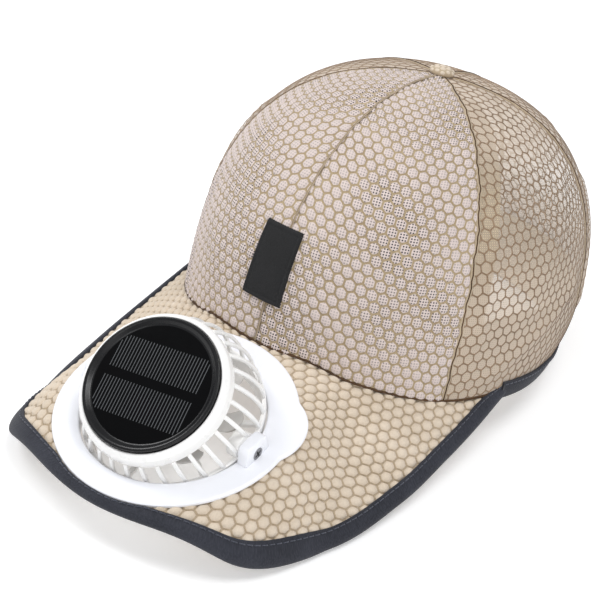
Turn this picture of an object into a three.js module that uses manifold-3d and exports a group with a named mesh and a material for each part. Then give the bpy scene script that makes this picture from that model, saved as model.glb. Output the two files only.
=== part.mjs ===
import * as THREE from 'three';
import { mergeVertices } from 'three/addons/utils/BufferGeometryUtils.js';
import Module from 'manifold-3d';

// A mesh cap with a solar-driven fan in its brim, in millimetres.
// In the hat's own frame X points to the wearer's left, -Y points forward along the brim
// and Z points up from the lowest point of the back rim.

const wasm = await Module();
wasm.setup();

// Crown
const crownReach = 103;       // centre to rim, at the front and at the back
const crownHalfWidth = 81.5;  // centre to rim, at the sides
const crownHeight = 113.5;    // rim at the back to the top
const frontFullness = 2.83;   // how long the wall stays upright at the front
const sideFullness = 3.24;
const backFullness = 2.15;
const domeRoundness = 2.4;    // 2 is an ellipse, more is flatter on top
const rimTuck = 5;            // how far the rim draws in at the sides and back
const tuckHeight = 30;        // height over which it does so
const tuckStart = -0.4;       // cosine of the angle from the back where the tuck starts
const tuckFull = 0.3;         // and where it is full
const frontSeamAngle = 54;    // seam between a front and a side panel, from the front
const backSeamAngle = 108;    // seam between a side and a back panel
const panelWall = 1.2;
const liningWall = 1.0;
const tapeWidth = 11;
const topHoleRadius = 3.2;    // what the panels leave open under the button
const buttonRadius = 6;
const buttonHeight = 3.8;
const sweatbandHeight = 34;
const sweatbandWall = 1.0;
const bindingWall = 1.0;
const rimTapeWidth = 5;
const brimTapeWidth = 3.6;
const patchWidth = 18.5;
const patchHeight = 30;
const patchBottom = 31;
const patchAside = 2.1;       // patch off the centre line, to the wearer's right
const patchWall = 1.0;
const gap = 0.3;              // what touching pieces keep between them
const brimSeat = 0.7;         // cloth above the arched brim
const tapeSlack = 0.5;        // folded tape off the cloth inside it

// Brim
const brimLength = 89;        // crown to tip along the centre line, seen from above
const brimThickness = 2.0;
const brimSlope = 21.3;       // degrees down towards the tip
const brimArch = 39.5;        // drop at the crown's half width, from the centre line
const frontRise = 13.2;       // rim at the front centre above the rim at the back
const brimEndAngle = 72;      // where the brim ends on the rim, from the front
const outlineCentre = 35.4;   // centre of the outline's polar table, in front of the crown's centre
const widestEdge = 0.3;       // most that the row under the crown, or under the tape, takes of the width

// The outline's polar table: degrees from the side, and reach as a share of the reach at the tip
const brimOutline = [
  { angle: -2, reach: 0.503 },
  { angle: 12, reach: 0.515 },
  { angle: 25, reach: 0.552 },
  { angle: 40, reach: 0.639 },
  { angle: 55, reach: 0.780 },
  { angle: 70, reach: 0.957 },
];

// Fan
const fanFromTip = 44;        // fan centre to the brim's tip, seen from above
const flatRadius = 40.5;      // the brim is flat as far as this round the fan
const archInFront = 70;       // and has its full arch from here, towards the tip
const archBehind = 68;        // and from here, towards the crown
const openingRadius = 34.7;
const collarWall = 1.5;
const collarDepth = 5;
const plateBack = 47.3;       // fan centre to the plate's edge behind it
const plateEdge = 1.3;        // top of the plate's edge above the brim
const plateCrest = 2.1;       // top of the plate beside the opening
const plateBevel = 0.5;
const crestWidth = 4;
const openingBevel = 0.6;
const lobeRadius = 20.8;
const lobeReach = 50.4;       // fan centre to the lobe's outermost point
const lobeAngle = 26.3;       // towards the crown from the near pivot
const pivotHeight = 4;        // pivot axis above the brim
const earWidth = 11;
const earThickness = 4.6;
const earFlare = 1.5;         // foot of the ear beyond its round top
const earSetback = 0.05;      // ear's inner face behind the opening's wall
const earSink = 0.2;          // ear's foot above the plate's underside
const screwRadius = 1.5;
const screwHeadRadius = 2.8;
const screwHeadHeight = 1.4;
const screwHeadInset = 0.1;
const screwGrip = 4;          // how far it reaches into the cage
const bossRadius = 5.2;
const bossBack = 1.5;         // material behind the screw's tip
const bossBevel = 0.8;
const retainerWidth = 2.6;
const retainerThickness = 1.5;
const ballClearance = 0.4;    // ball of the cage to the opening
const cageWall = 1.6;
const ringTop = -1;           // upper edge of the cage's lower ring, from the pivot axis
const ringBottom = -10;
const cageTilt = 8;           // ring forward of the plate, as pictured
const drumTilt = 18.3;        // drum forward of the ring
const drumBottom = 16.5;      // from the pivot axis, along the drum's axis
const drumTop = 21.4;
const drumRadius = 26.9;
const drumStep = 1.0;         // drum's foot inside the ball
const drumTaper = 0.4;
const drumChamfer = 0.9;      // height of the slope under the drum's lip
const lipHeight = 1.3;
const lipWidth = 0.7;
const discRadius = 25.9;
const discThickness = 2.5;
const discRimWidth = 2.3;
const discBevel = 2.0;
const discRecess = 1.3;
const discEdge = 0.6;
const ribCount = 30;
const ribWidth = 1.6;
const ribInset = 0.15;        // ribs behind the ball's skin
const ribLap = 0.8;           // rib's end inside the ring and inside the drum
const spokeCount = 6;
const spokeWidth = 2.2;
const spokeThickness = 2;
const motorRadius = 8;
const motorRim = 1.5;         // guard's middle beyond the motor
const motorHeight = 7;
const shaftRadius = 1;
const hubRadius = 9.5;
const hubHeight = 6;
const hubBevel = 1.2;
const shaftCover = 1.0;       // hub above the shaft's end
const bladeCount = 7;
const bladeClearance = 4.7;   // blade tips to the widest of the cage's inner face
const bladeSpan = 40;         // degrees that a blade covers
const bladeRise = 6;          // leading to trailing edge, along the axis
const bladeThickness = 1.1;
const bladeRoot = 0.8;        // blade's root inside the hub
const bladeSweep = 12;        // degrees from root to tip
const bladeFlattening = 0.35; // share of the rise that is gone at the tip

const radians = THREE.MathUtils.degToRad;
const crownSides = 40;
const fanSides = 36;
const lobeSides = 24;
const hubSides = 16;
const bossSides = 16;
const screwSides = 12;
const facet = 360 / crownSides;  // degrees that one facet of the crown covers
const crownRows = 10;
const brimColumns = 32;
const brimRows = 9;

const meshCloth = new THREE.MeshStandardMaterial({ color: 0xcdbca2, roughness: 0.9, metalness: 0 });
const liningCloth = new THREE.MeshStandardMaterial({ color: 0xdcd2d4, roughness: 0.95, metalness: 0 });
const tapeCloth = new THREE.MeshStandardMaterial({ color: 0xb9a88c, roughness: 0.9, metalness: 0 });
const bandCloth = new THREE.MeshStandardMaterial({ color: 0xd9cfc0, roughness: 0.95, metalness: 0 });
const brimCloth = new THREE.MeshStandardMaterial({ color: 0xd8c7ab, roughness: 0.9, metalness: 0 });
const navyTape = new THREE.MeshStandardMaterial({ color: 0x343a4b, roughness: 0.85, metalness: 0 });
const blackPatch = new THREE.MeshStandardMaterial({ color: 0x2b2b2c, roughness: 0.8, metalness: 0 });
const whitePlastic = new THREE.MeshStandardMaterial({ color: 0xf2f2f6, roughness: 0.35, metalness: 0 });
const cagePlastic = new THREE.MeshStandardMaterial({ color: 0xeceae6, roughness: 0.4, metalness: 0 });
const bladePlastic = new THREE.MeshStandardMaterial({ color: 0xcfccc6, roughness: 0.4, metalness: 0 });
const discPlastic = new THREE.MeshStandardMaterial({ color: 0x1c1c1e, roughness: 0.25, metalness: 0 });
const darkSteel = new THREE.MeshStandardMaterial({ color: 0x2e2e30, roughness: 0.45, metalness: 0.8 });
const motorSteel = new THREE.MeshStandardMaterial({ color: 0xb4b4b8, roughness: 0.4, metalness: 0.9 });

// Closed geometry helpers

function signedVolume(geometry) {
  const points = geometry.attributes.position;
  const index = geometry.index;
  const a = new THREE.Vector3();
  const b = new THREE.Vector3();
  const c = new THREE.Vector3();
  let volume = 0;
  for (let i = 0; i < index.count; i += 3) {
    a.fromBufferAttribute(points, index.getX(i));
    b.fromBufferAttribute(points, index.getX(i + 1));
    c.fromBufferAttribute(points, index.getX(i + 2));
    volume += a.dot(b.cross(c)) / 6;
  }
  return volume;
}

// One closed body with shared corners and its faces pointing out
function closed(source) {
  source.deleteAttribute('normal');
  source.deleteAttribute('uv');
  const merged = mergeVertices(source, 1e-4);
  const corners = merged.index.array;
  const kept = [];
  const flip = signedVolume(merged) < 0;
  for (let i = 0; i < corners.length; i += 3) {
    const [a, b, c] = [corners[i], corners[i + 1], corners[i + 2]];
    if (a !== b && b !== c && c !== a) {
      kept.push(a, flip ? c : b, flip ? b : c);
    }
  }
  merged.setIndex(kept);
  return merged;
}

// Moves each corner to the point that place gives for its three coordinates
function bend(geometry, place) {
  const points = geometry.attributes.position;
  for (let i = 0; i < points.count; i += 1) {
    const point = place(points.getX(i), points.getY(i), points.getZ(i));
    points.setXYZ(i, point.x, point.y, point.z);
  }
  return closed(geometry);
}

// A wall: place takes shares 0 to 1 across, along and through it
function bentWall(across, along, place) {
  const box = new THREE.BoxGeometry(1, 1, 1, across, along, 1);
  return bend(box, (x, y, z) => place(x + 0.5, y + 0.5, z + 0.5));
}

// A band of one cross-section: place takes the section's two coordinates and a share along the band
function bentBand(section, steps, place) {
  const band = new THREE.ExtrudeGeometry(section, { depth: 1, steps, bevelEnabled: false });
  return bend(band, place);
}

// A band that closes on itself: place takes the section's two coordinates and the angle in radians
function bentRing(corners, sides, place) {
  const offset = 10;
  const outline = [...corners, corners[0]].map(([x, y]) => new THREE.Vector2(x + offset, y));
  const ring = new THREE.LatheGeometry(outline, sides);
  return bend(ring, (x, y, z) => place(Math.hypot(x, z) - offset, y, Math.atan2(x, z)));
}

// A turned piece about Z from [radius, height] pairs
function turned(profile, sides = fanSides) {
  const points = profile.map(([radius, height]) => new THREE.Vector2(radius, height));
  return closed(new THREE.LatheGeometry(points, sides).rotateX(Math.PI / 2));
}

// A turned piece about X, pointing along +X
function turnedAlongX(profile, sides) {
  return turned(profile, sides).rotateY(Math.PI / 2);
}

function solid(geometry) {
  const vertProperties = new Float32Array(geometry.attributes.position.array);
  const triVerts = new Uint32Array(geometry.index.array);
  return new wasm.Manifold(new wasm.Mesh({ numProp: 3, vertProperties, triVerts }));
}

function geometryOf(manifold) {
  const mesh = manifold.getMesh();
  const geometry = new THREE.BufferGeometry();
  geometry.setAttribute('position', new THREE.BufferAttribute(mesh.vertProperties, 3));
  geometry.setIndex(new THREE.BufferAttribute(mesh.triVerts, 1));
  return geometry;
}

function joined(geometries) {
  return geometries.map(solid).reduce((sum, next) => sum.add(next));
}

function piece(parent, name, geometry, material) {
  const mesh = new THREE.Mesh(geometry, material.clone());
  mesh.name = name;
  parent.add(mesh);
  return mesh;
}

// The crown's surface

// Point at angle phi from the front and level 0 (base) to 1 (top)
function crownSurface(phi, level) {
  const height = Math.sin(level * Math.PI / 2);
  const facing = Math.cos(phi);
  const endFullness = facing > 0 ? frontFullness : backFullness;
  const fullness = sideFullness + (endFullness - sideFullness) * facing * facing;
  const spread = (1 - Math.abs(height) ** fullness) ** (1 / domeRoundness);
  const low = Math.max(0, 1 - height * crownHeight / tuckHeight);
  const behind = THREE.MathUtils.smoothstep(-facing, tuckStart, tuckFull);
  const tuck = rimTuck * low * low * behind;
  return new THREE.Vector3(
    (crownHalfWidth * spread - tuck) * Math.sin(phi),
    -(crownReach * spread - tuck) * facing,
    crownHeight * height,
  );
}

// The same, moved in from the outer face by depth
function crownPoint(phi, level, depth) {
  const step = 1e-3;
  const point = crownSurface(phi, level);
  const around = crownSurface(phi + step, level).sub(crownSurface(phi - step, level));
  const up = crownSurface(phi, level + step).sub(crownSurface(phi, level - step));
  const outward = around.cross(up).normalize();
  return point.addScaledVector(outward, -depth);
}

function levelAt(height) {
  return Math.asin(Math.min(height / crownHeight, 1)) * 2 / Math.PI;
}

// The brim's upper surface

const brimFall = Math.tan(radians(brimSlope));
const tipReach = crownReach + brimLength - outlineCentre;
const fanY = -(crownReach + brimLength - fanFromTip);

function brimHeight(x, y) {
  const distance = Math.hypot(x, y - fanY);
  const backward = distance > 0 ? (1 + (y - fanY) / distance) / 2 : 0;
  const fullArch = THREE.MathUtils.lerp(archInFront, archBehind, backward);
  const arch = THREE.MathUtils.smoothstep(distance, flatRadius, fullArch);
  return frontRise + brimFall * (y + crownReach) - arch * brimArch * (x / crownHalfWidth) ** 2;
}

// Height of the crown's lower edge: along the brim in front, then straight down to the back
function rimHeight(phi, depth) {
  const facing = Math.cos(phi);
  const endFacing = Math.cos(radians(brimEndAngle));
  const fromFront = Math.min(Math.abs(Math.atan2(Math.sin(phi), facing)), radians(brimEndAngle));
  const x = (crownHalfWidth - depth) * Math.sin(fromFront);
  const onBrim = brimHeight(x, -(crownReach - depth) * Math.cos(fromFront));
  return facing > endFacing ? onBrim : onBrim * (1 + facing) / (1 + endFacing);
}

// A point on the crown at a height above its lower edge
function crownAbove(phi, height, depth) {
  return crownPoint(phi, levelAt(rimHeight(phi, depth) + height), depth);
}

// Crown pieces

const topLevel = 1 - 2 / Math.PI * Math.acos(
  (1 - (topHoleRadius / crownHalfWidth) ** domeRoundness) ** (1 / sideFullness),
);

function reachAt(phi, level) {
  const point = crownSurface(phi, level);
  return Math.hypot(point.x, point.y);
}

// Part of the crown between two seams, with half of the seam's gap on either side
function crownWall(from, to, bottom, depth, wall) {
  const columns = Math.round((to - from) / facet);
  return bentWall(columns, crownRows, (u, v, w) => {
    const inward = depth + (1 - w) * wall;
    const onGrid = radians(THREE.MathUtils.lerp(from, to, u));
    const low = levelAt(rimHeight(onGrid, inward) + bottom);
    const level = THREE.MathUtils.lerp(low, topLevel, v);
    const inset = gap / 2 / reachAt(onGrid, level);
    const phi = THREE.MathUtils.clamp(onGrid, radians(from) + inset, radians(to) - inset);
    return crownPoint(phi, level, inward);
  });
}

const underPanel = panelWall + gap;
const underLining = underPanel + Math.max(liningWall, bindingWall) + gap;
const hat = new THREE.Group();

function addPanels() {
  const bound = bindingWall + gap;
  const seams = [
    { place: 'front', from: 0, to: frontSeamAngle, bottom: brimSeat },
    { place: 'side', from: frontSeamAngle, to: backSeamAngle, bottom: bound },
    { place: 'back', from: backSeamAngle, to: 180, bottom: bound },
  ];
  for (const { place, from, to, bottom } of seams) {
    piece(hat, `${place}_panel_left`, crownWall(from, to, bottom, 0, panelWall), meshCloth);
    piece(hat, `${place}_panel_right`, crownWall(-to, -from, bottom, 0, panelWall), meshCloth);
  }
}

function addLining() {
  const lining = (from, to) => crownWall(from, to, brimSeat, underPanel, liningWall);
  piece(hat, 'front_lining_left', lining(0, frontSeamAngle), liningCloth);
  piece(hat, 'front_lining_right', lining(-frontSeamAngle, 0), liningCloth);
}

function addSeamTapes() {
  const rows = crownRows - 2;
  const tape = (side) => bentWall(2, rows, (u, v, w) => {
    const seam = radians(frontSeamAngle);
    const low = levelAt(rimHeight(seam, 0) + bindingWall + gap);
    const level = THREE.MathUtils.lerp(low, topLevel, (v * rows + 1) / crownRows);
    const phi = seam + (gap + u * tapeWidth) / reachAt(seam, level);
    return crownPoint(side * phi, level, underPanel + (1 - w) * liningWall);
  });
  piece(hat, 'seam_tape_left', tape(1), tapeCloth);
  piece(hat, 'seam_tape_right', tape(-1), tapeCloth);
}

function addButton() {
  const shoulder = buttonHeight * 0.35;
  const profile = [
    [0, 0],
    [buttonRadius * 0.93, 0],
    [buttonRadius, shoulder],
    [buttonRadius * 0.85, buttonHeight * 0.72],
    [buttonRadius * 0.5, buttonHeight * 0.95],
    [0, buttonHeight],
  ];
  const button = piece(hat, 'crown_button', turned(profile, 16), meshCloth);
  button.position.z = crownHeight + gap;
}

function addSweatband() {
  const corners = [
    [underLining, bindingWall],
    [underLining + sweatbandWall, bindingWall],
    [underLining + sweatbandWall, sweatbandHeight],
    [underLining, sweatbandHeight],
  ];
  const band = bentRing(corners, crownSides, (depth, height, phi) => crownAbove(phi, height, depth));
  piece(hat, 'sweatband', band, bandCloth);
}

// A tape folded round an edge that is `inside` thick: the section opens along +y
function foldedTape(inside, width) {
  const half = inside / 2 + tapeSlack;
  const outer = half + bindingWall;
  const section = new THREE.Shape();
  section.moveTo(-half, width);
  section.lineTo(-outer, width);
  section.lineTo(-outer, 0);
  section.lineTo(outer, 0);
  section.lineTo(outer, width);
  section.lineTo(half, width);
  section.lineTo(half, bindingWall);
  section.lineTo(-half, bindingWall);
  return section;
}

function addRimBinding() {
  const margin = 0.4;
  const start = brimEndAngle + margin;
  const steps = Math.round((360 - 2 * brimEndAngle) / facet);
  const band = bentBand(foldedTape(panelWall, rimTapeWidth), steps, (x, y, share) => {
    const onGrid = THREE.MathUtils.lerp(brimEndAngle, 360 - brimEndAngle, share);
    const phi = radians(THREE.MathUtils.clamp(onGrid, start, 360 - start));
    return crownAbove(phi, y, x + panelWall / 2);
  });
  piece(hat, 'rim_binding', band, navyTape);
}

function addPatch() {
  const patch = bentWall(3, 4, (u, v, w) => {
    const level = levelAt(patchBottom + v * patchHeight);
    const phi = ((u - 0.5) * patchWidth - patchAside) / crownHalfWidth;
    return crownPoint(phi, level, -gap - w * patchWall);
  });
  piece(hat, 'front_patch', patch, blackPatch);
}

// Brim pieces

// The outline from the right end round the tip to the left end
function outlineCurve() {
  const polar = (row) => {
    const angle = radians(row.angle);
    const reach = row.reach * tipReach;
    return new THREE.Vector2(reach * Math.cos(angle), -outlineCentre - reach * Math.sin(angle));
  };
  const left = brimOutline.map(polar);
  const right = left.map((point) => new THREE.Vector2(-point.x, point.y));
  const tip = new THREE.Vector2(0, -outlineCentre - tipReach);
  return new THREE.SplineCurve([...right, tip, ...left.reverse()]);
}

const outline = outlineCurve();

// A point of the brim: share across from right to left, share outward, and height off the upper face
function brimPoint(across, outward, lift) {
  const phi = radians(THREE.MathUtils.lerp(-brimEndAngle, brimEndAngle, across));
  const inner = crownAbove(phi, 0, underLining - gap);
  const outer = outline.getPoint(across);
  const x = THREE.MathUtils.lerp(inner.x, outer.x, outward);
  const y = THREE.MathUtils.lerp(inner.y, outer.y, outward);
  const step = 0.5;
  const alongX = (brimHeight(x + step, y) - brimHeight(x - step, y)) / (2 * step);
  const alongY = (brimHeight(x, y + step) - brimHeight(x, y - step)) / (2 * step);
  const normal = new THREE.Vector3(-alongX, -alongY, 1).normalize();
  return new THREE.Vector3(x, y, brimHeight(x, y)).addScaledVector(normal, lift);
}

// Share outward of a row, with one row under the crown's edge and one under the tape
function brimRow(across, row) {
  const width = brimPoint(across, 0, 0).distanceTo(brimPoint(across, 1, 0));
  const seat = Math.min(widestEdge, (underLining + brimSeat) / width);
  const edge = 1 - Math.min(widestEdge, brimTapeWidth / width);
  const between = THREE.MathUtils.lerp(seat, edge, (row - 1) / (brimRows - 2));
  return row < 1 ? 0 : row > brimRows - 1 ? 1 : between;
}

function addBrim() {
  const sheet = bentWall(brimColumns, brimRows, (u, v, w) => {
    const row = Math.round((1 - v) * brimRows);
    return brimPoint(u, brimRow(u, row), (w - 1) * brimThickness);
  });
  const holeRadius = openingRadius + collarWall + gap;
  const seatRadius = holeRadius + retainerWidth + gap;
  const through = 2 * collarDepth;
  const drill = turned([
    [0, -through],
    [seatRadius, -through],
    [seatRadius, -brimThickness],
    [holeRadius, -brimThickness],
    [holeRadius, through],
    [0, through],
  ]);
  drill.applyMatrix4(fanGroup.matrix);
  piece(hat, 'brim', geometryOf(solid(sheet).subtract(solid(drill))), brimCloth);
}

function addBrimBinding() {
  const margin = 0.004;
  const band = bentBand(foldedTape(brimThickness, brimTapeWidth), brimColumns, (x, y, share) => {
    const across = THREE.MathUtils.clamp(share, margin, 1 - margin);
    const inner = brimPoint(across, 0, 0);
    const outer = brimPoint(across, 1, 0);
    const width = inner.distanceTo(outer);
    const room = Math.min(1, (width - underLining - gap) / brimTapeWidth);
    const inward = (y - bindingWall - gap) * room / width;
    return brimPoint(across, 1 - inward, x - brimThickness / 2);
  });
  piece(hat, 'brim_binding', band, navyTape);
}

// Fan pieces

// The plate's frame: origin on the brim's upper face, Z square to it
const fanGroup = new THREE.Group();
fanGroup.position.set(0, fanY, brimHeight(0, fanY));
fanGroup.rotation.x = radians(brimSlope);
fanGroup.updateMatrix();

// The cage's frame: origin where its axis crosses the pivot axis
const cageGroup = new THREE.Group();
cageGroup.position.z = pivotHeight;
cageGroup.rotation.x = radians(cageTilt);

const ballRadius = openingRadius - ballClearance;
const bladeReach = ballRadius - cageWall - bladeClearance;
const earInner = openingRadius + earSetback;
const earOuter = earInner + earThickness;

function rotatedX(geometry, degrees) {
  return geometry.rotateX(radians(degrees));
}

function addPlate() {
  const beforeTape = fanFromTip / Math.cos(radians(brimSlope)) + bindingWall - brimTapeWidth - gap;
  const plateRadius = (beforeTape + plateBack) / 2;
  const plateShift = plateBack - plateRadius;
  const flange = turned([
    [0, gap],
    [plateRadius, gap],
    [plateRadius - plateBevel, plateEdge],
    [openingRadius + crestWidth, plateCrest],
    [0, plateCrest],
  ]).translate(0, plateShift, 0);
  const lobe = turned([
    [0, gap],
    [lobeRadius, gap],
    [lobeRadius - plateBevel, plateEdge],
    [0, plateEdge],
  ], lobeSides).translate(lobeReach - lobeRadius, 0, 0).rotateZ(radians(lobeAngle));
  const collar = turned([
    [0, -collarDepth],
    [openingRadius + collarWall, -collarDepth],
    [openingRadius + collarWall, plateEdge],
    [0, plateEdge],
  ]);
  const opening = turned([
    [0, -2 * collarDepth],
    [openingRadius, -2 * collarDepth],
    [openingRadius, plateCrest - openingBevel],
    [openingRadius + 2 * openingBevel, plateCrest + openingBevel],
    [0, plateCrest + openingBevel],
  ]);
  let plate = joined([flange, lobe, collar]).subtract(solid(opening));
  for (const side of [1, -1]) {
    plate = plate.add(solid(ear(side)));
    plate = plate.subtract(solid(earBore(side)));
  }
  piece(fanGroup, 'fan_plate', geometryOf(plate), whitePlastic);
}

// Upright ear with a round top, which carries the pivot screw
function ear(side) {
  const half = earWidth / 2;
  const shape = new THREE.Shape();
  shape.moveTo(-half - earFlare, gap + earSink);
  shape.lineTo(half + earFlare, gap + earSink);
  shape.absarc(0, pivotHeight, half, 0, Math.PI, false);
  const settings = { depth: earThickness, bevelEnabled: false, curveSegments: 6 };
  const block = new THREE.ExtrudeGeometry(shape, settings);
  const upright = closed(block.rotateX(Math.PI / 2).rotateZ(Math.PI / 2).translate(earInner, 0, 0));
  return side > 0 ? upright : upright.rotateZ(Math.PI);
}

// Bore and countersink of an ear
function earBore(side) {
  const bore = turnedAlongX([
    [0, earInner - 1],
    [screwRadius + gap, earInner - 1],
    [screwRadius + gap, earOuter - screwHeadHeight - gap],
    [screwHeadRadius + gap, earOuter - screwHeadHeight - gap],
    [screwHeadRadius + gap, earOuter + 1],
    [0, earOuter + 1],
  ], screwSides).translate(0, 0, pivotHeight);
  return side > 0 ? bore : bore.rotateZ(Math.PI);
}

const screwTip = ballRadius - screwGrip;

function addScrews() {
  const seat = earOuter - screwHeadHeight;
  for (const side of [1, -1]) {
    const screw = turnedAlongX([
      [0, screwTip],
      [screwRadius, screwTip],
      [screwRadius, seat],
      [screwHeadRadius, seat],
      [screwHeadRadius, earOuter - screwHeadInset],
      [0, earOuter - screwHeadInset],
    ], screwSides).translate(0, 0, pivotHeight);
    const turnedScrew = side > 0 ? screw : screw.rotateZ(Math.PI);
    piece(fanGroup, side > 0 ? 'pivot_screw_left' : 'pivot_screw_right', turnedScrew, darkSteel);
  }
}

function addRetainer() {
  const inner = openingRadius + collarWall + gap;
  const top = -brimThickness - gap;
  const profile = [
    [inner, top - retainerThickness],
    [inner + retainerWidth, top - retainerThickness],
    [inner + retainerWidth, top],
    [inner, top],
    [inner, top - retainerThickness],
  ];
  piece(fanGroup, 'fan_retainer', turned(profile), whitePlastic);
}

// A point on the ball, at an angle up from the ring's plane and an angle round its axis
function onBall(radius, elevation, azimuth) {
  return new THREE.Vector3(
    radius * Math.cos(elevation) * Math.cos(azimuth),
    radius * Math.cos(elevation) * Math.sin(azimuth),
    radius * Math.sin(elevation),
  );
}

// A rib from the drum's lower edge to the ring, lying in the ball's skin
function rib(azimuth) {
  const drumElevation = Math.asin((drumBottom + ribLap) / ballRadius);
  const top = rotatedVector(onBall(1, drumElevation, azimuth), drumTilt);
  const bottom = onBall(1, Math.asin((ringTop - ribLap) / ballRadius), azimuth);
  const turn = top.angleTo(bottom);
  const side = new THREE.Vector3().crossVectors(bottom, top).normalize();
  return bentWall(1, 3, (u, v, w) => {
    const direction = bottom.clone().applyAxisAngle(side, turn * v);
    const radius = ballRadius - ribInset - (1 - w) * (cageWall - 2 * ribInset);
    return direction.multiplyScalar(radius).addScaledVector(side, (0.5 - u) * ribWidth);
  });
}

function rotatedVector(vector, degrees) {
  return vector.applyAxisAngle(new THREE.Vector3(1, 0, 0), radians(degrees));
}

function drum() {
  const foot = Math.sqrt(ballRadius ** 2 - drumBottom ** 2);
  return rotatedX(turned([
    [0, drumBottom],
    [foot - drumStep, drumBottom],
    [foot - drumStep - drumTaper, drumTop - drumChamfer],
    [drumRadius, drumTop + lipHeight],
    [drumRadius - lipWidth, drumTop + lipHeight],
    [drumRadius - lipWidth, drumTop],
    [0, drumTop],
  ]), drumTilt);
}

function ring() {
  const steps = 2;
  const outside = [];
  const inside = [];
  for (let i = 0; i <= steps; i += 1) {
    const height = THREE.MathUtils.lerp(ringBottom, ringTop, i / steps);
    outside.push([Math.sqrt(ballRadius ** 2 - height ** 2), height]);
    inside.unshift([Math.sqrt((ballRadius - cageWall) ** 2 - height ** 2), height]);
  }
  return turned([...outside, ...inside, outside[0]]);
}

function boss(side) {
  const shape = turnedAlongX([
    [0, screwTip - bossBack],
    [bossRadius, screwTip - bossBack],
    [bossRadius, ballRadius - bossBevel],
    [bossRadius - 2 * bossBevel, ballRadius],
    [0, ballRadius],
  ], bossSides);
  return side > 0 ? shape : shape.rotateZ(Math.PI);
}

function bossBore(side) {
  const bore = turnedAlongX([
    [0, screwTip - gap],
    [screwRadius + gap, screwTip - gap],
    [screwRadius + gap, ballRadius + 1],
    [0, ballRadius + 1],
  ], screwSides);
  return side > 0 ? bore : bore.rotateZ(Math.PI);
}

// Plain guard under the fan, whose middle carries the motor
function guard() {
  const reach = Math.sqrt((ballRadius - cageWall / 2) ** 2 - ringBottom ** 2);
  const parts = [turned([
    [0, ringBottom],
    [motorRadius + motorRim, ringBottom],
    [motorRadius + motorRim, ringBottom + spokeThickness],
    [0, ringBottom + spokeThickness],
  ], hubSides)];
  for (let i = 0; i < spokeCount; i += 1) {
    const spoke = new THREE.BoxGeometry(reach - motorRadius, spokeWidth, spokeThickness);
    spoke.translate((reach + motorRadius) / 2, 0, ringBottom + spokeThickness / 2);
    spoke.rotateZ((i + 0.5) * 2 * Math.PI / spokeCount);
    parts.push(closed(spoke));
  }
  return parts;
}

function addCage() {
  const ribs = [];
  for (let i = 0; i < ribCount; i += 1) {
    ribs.push(rib((i + 0.5) * 2 * Math.PI / ribCount));
  }
  const cage = joined([drum(), ring(), ...guard(), ...ribs, boss(1), boss(-1)]);
  const bored = cage.subtract(solid(bossBore(1))).subtract(solid(bossBore(-1)));
  piece(cageGroup, 'fan_cage', geometryOf(bored), cagePlastic);
}

const motorBase = ringBottom + spokeThickness + gap;
const shaftTop = motorBase + motorHeight + hubHeight - shaftCover;

function addMotor() {
  const top = motorBase + motorHeight;
  const profile = [
    [0, motorBase],
    [motorRadius, motorBase],
    [motorRadius, top],
    [shaftRadius, top],
    [shaftRadius, shaftTop],
    [0, shaftTop],
  ];
  piece(cageGroup, 'fan_motor', turned(profile, hubSides), motorSteel);
}

function addBlades() {
  const base = motorBase + motorHeight + gap;
  const hub = turned([
    [0, shaftTop + gap],
    [shaftRadius + gap, shaftTop + gap],
    [shaftRadius + gap, base],
    [hubRadius, base],
    [hubRadius, base + hubHeight - hubBevel],
    [hubRadius - hubBevel, base + hubHeight],
    [0, base + hubHeight],
  ], hubSides);
  const middle = base + hubHeight / 2;
  const parts = [hub];
  for (let i = 0; i < bladeCount; i += 1) {
    const blade = bentWall(3, 2, (u, v, w) => {
      const radius = THREE.MathUtils.lerp(hubRadius - bladeRoot, bladeReach, v);
      const azimuth = radians(i * 360 / bladeCount + (u - 0.5) * bladeSpan + bladeSweep * v);
      const rise = (bladeRise - bladeThickness) * (1 - bladeFlattening * v);
      const height = middle + (0.5 - u) * rise + (w - 0.5) * bladeThickness;
      return new THREE.Vector3(radius * Math.cos(azimuth), radius * Math.sin(azimuth), height);
    });
    parts.push(blade);
  }
  piece(cageGroup, 'fan_blades', geometryOf(joined(parts)), bladePlastic);
}

function addSolarDisc() {
  const base = drumTop + gap;
  const top = base + discThickness;
  const flat = discRadius - discRimWidth - discBevel;
  const profile = [
    [0, base],
    [discRadius, base],
    [discRadius, top - discEdge],
    [discRadius - discEdge, top],
    [discRadius - discRimWidth, top],
    [flat, top - discRecess],
    [0, top - discRecess],
  ];
  const disc = piece(cageGroup, 'solar_disc', turned(profile), discPlastic);
  disc.rotation.x = radians(drumTilt);
}

addPanels();
addLining();
addSeamTapes();
addButton();
addSweatband();
addRimBinding();
addPatch();
addBrim();
addBrimBinding();
hat.add(fanGroup);
fanGroup.add(cageGroup);
addPlate();
addScrews();
addRetainer();
addCage();
addMotor();
addBlades();
addSolarDisc();

// The hat rests on the back of its rim and the two low points of its brim,
// with its origin on the floor under the middle of its box.

function lowestOfBrim() {
  let lowest = new THREE.Vector3();
  for (let i = 0; i <= 200; i += 1) {
    const point = brimPoint(i / 200, 1, -brimThickness - tapeSlack - bindingWall);
    lowest = point.z < lowest.z ? point : lowest;
  }
  return lowest;
}

const contact = lowestOfBrim();
hat.rotation.x = -Math.atan2(-contact.z, crownReach - contact.y);
const part = new THREE.Group();
part.add(hat);
part.updateMatrixWorld(true);
const box = new THREE.Box3().setFromObject(hat, true);
const middle = box.getCenter(new THREE.Vector3());
hat.position.set(-middle.x, -middle.y, -box.min.z);
part.updateMatrixWorld(true);

export default part;
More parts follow.
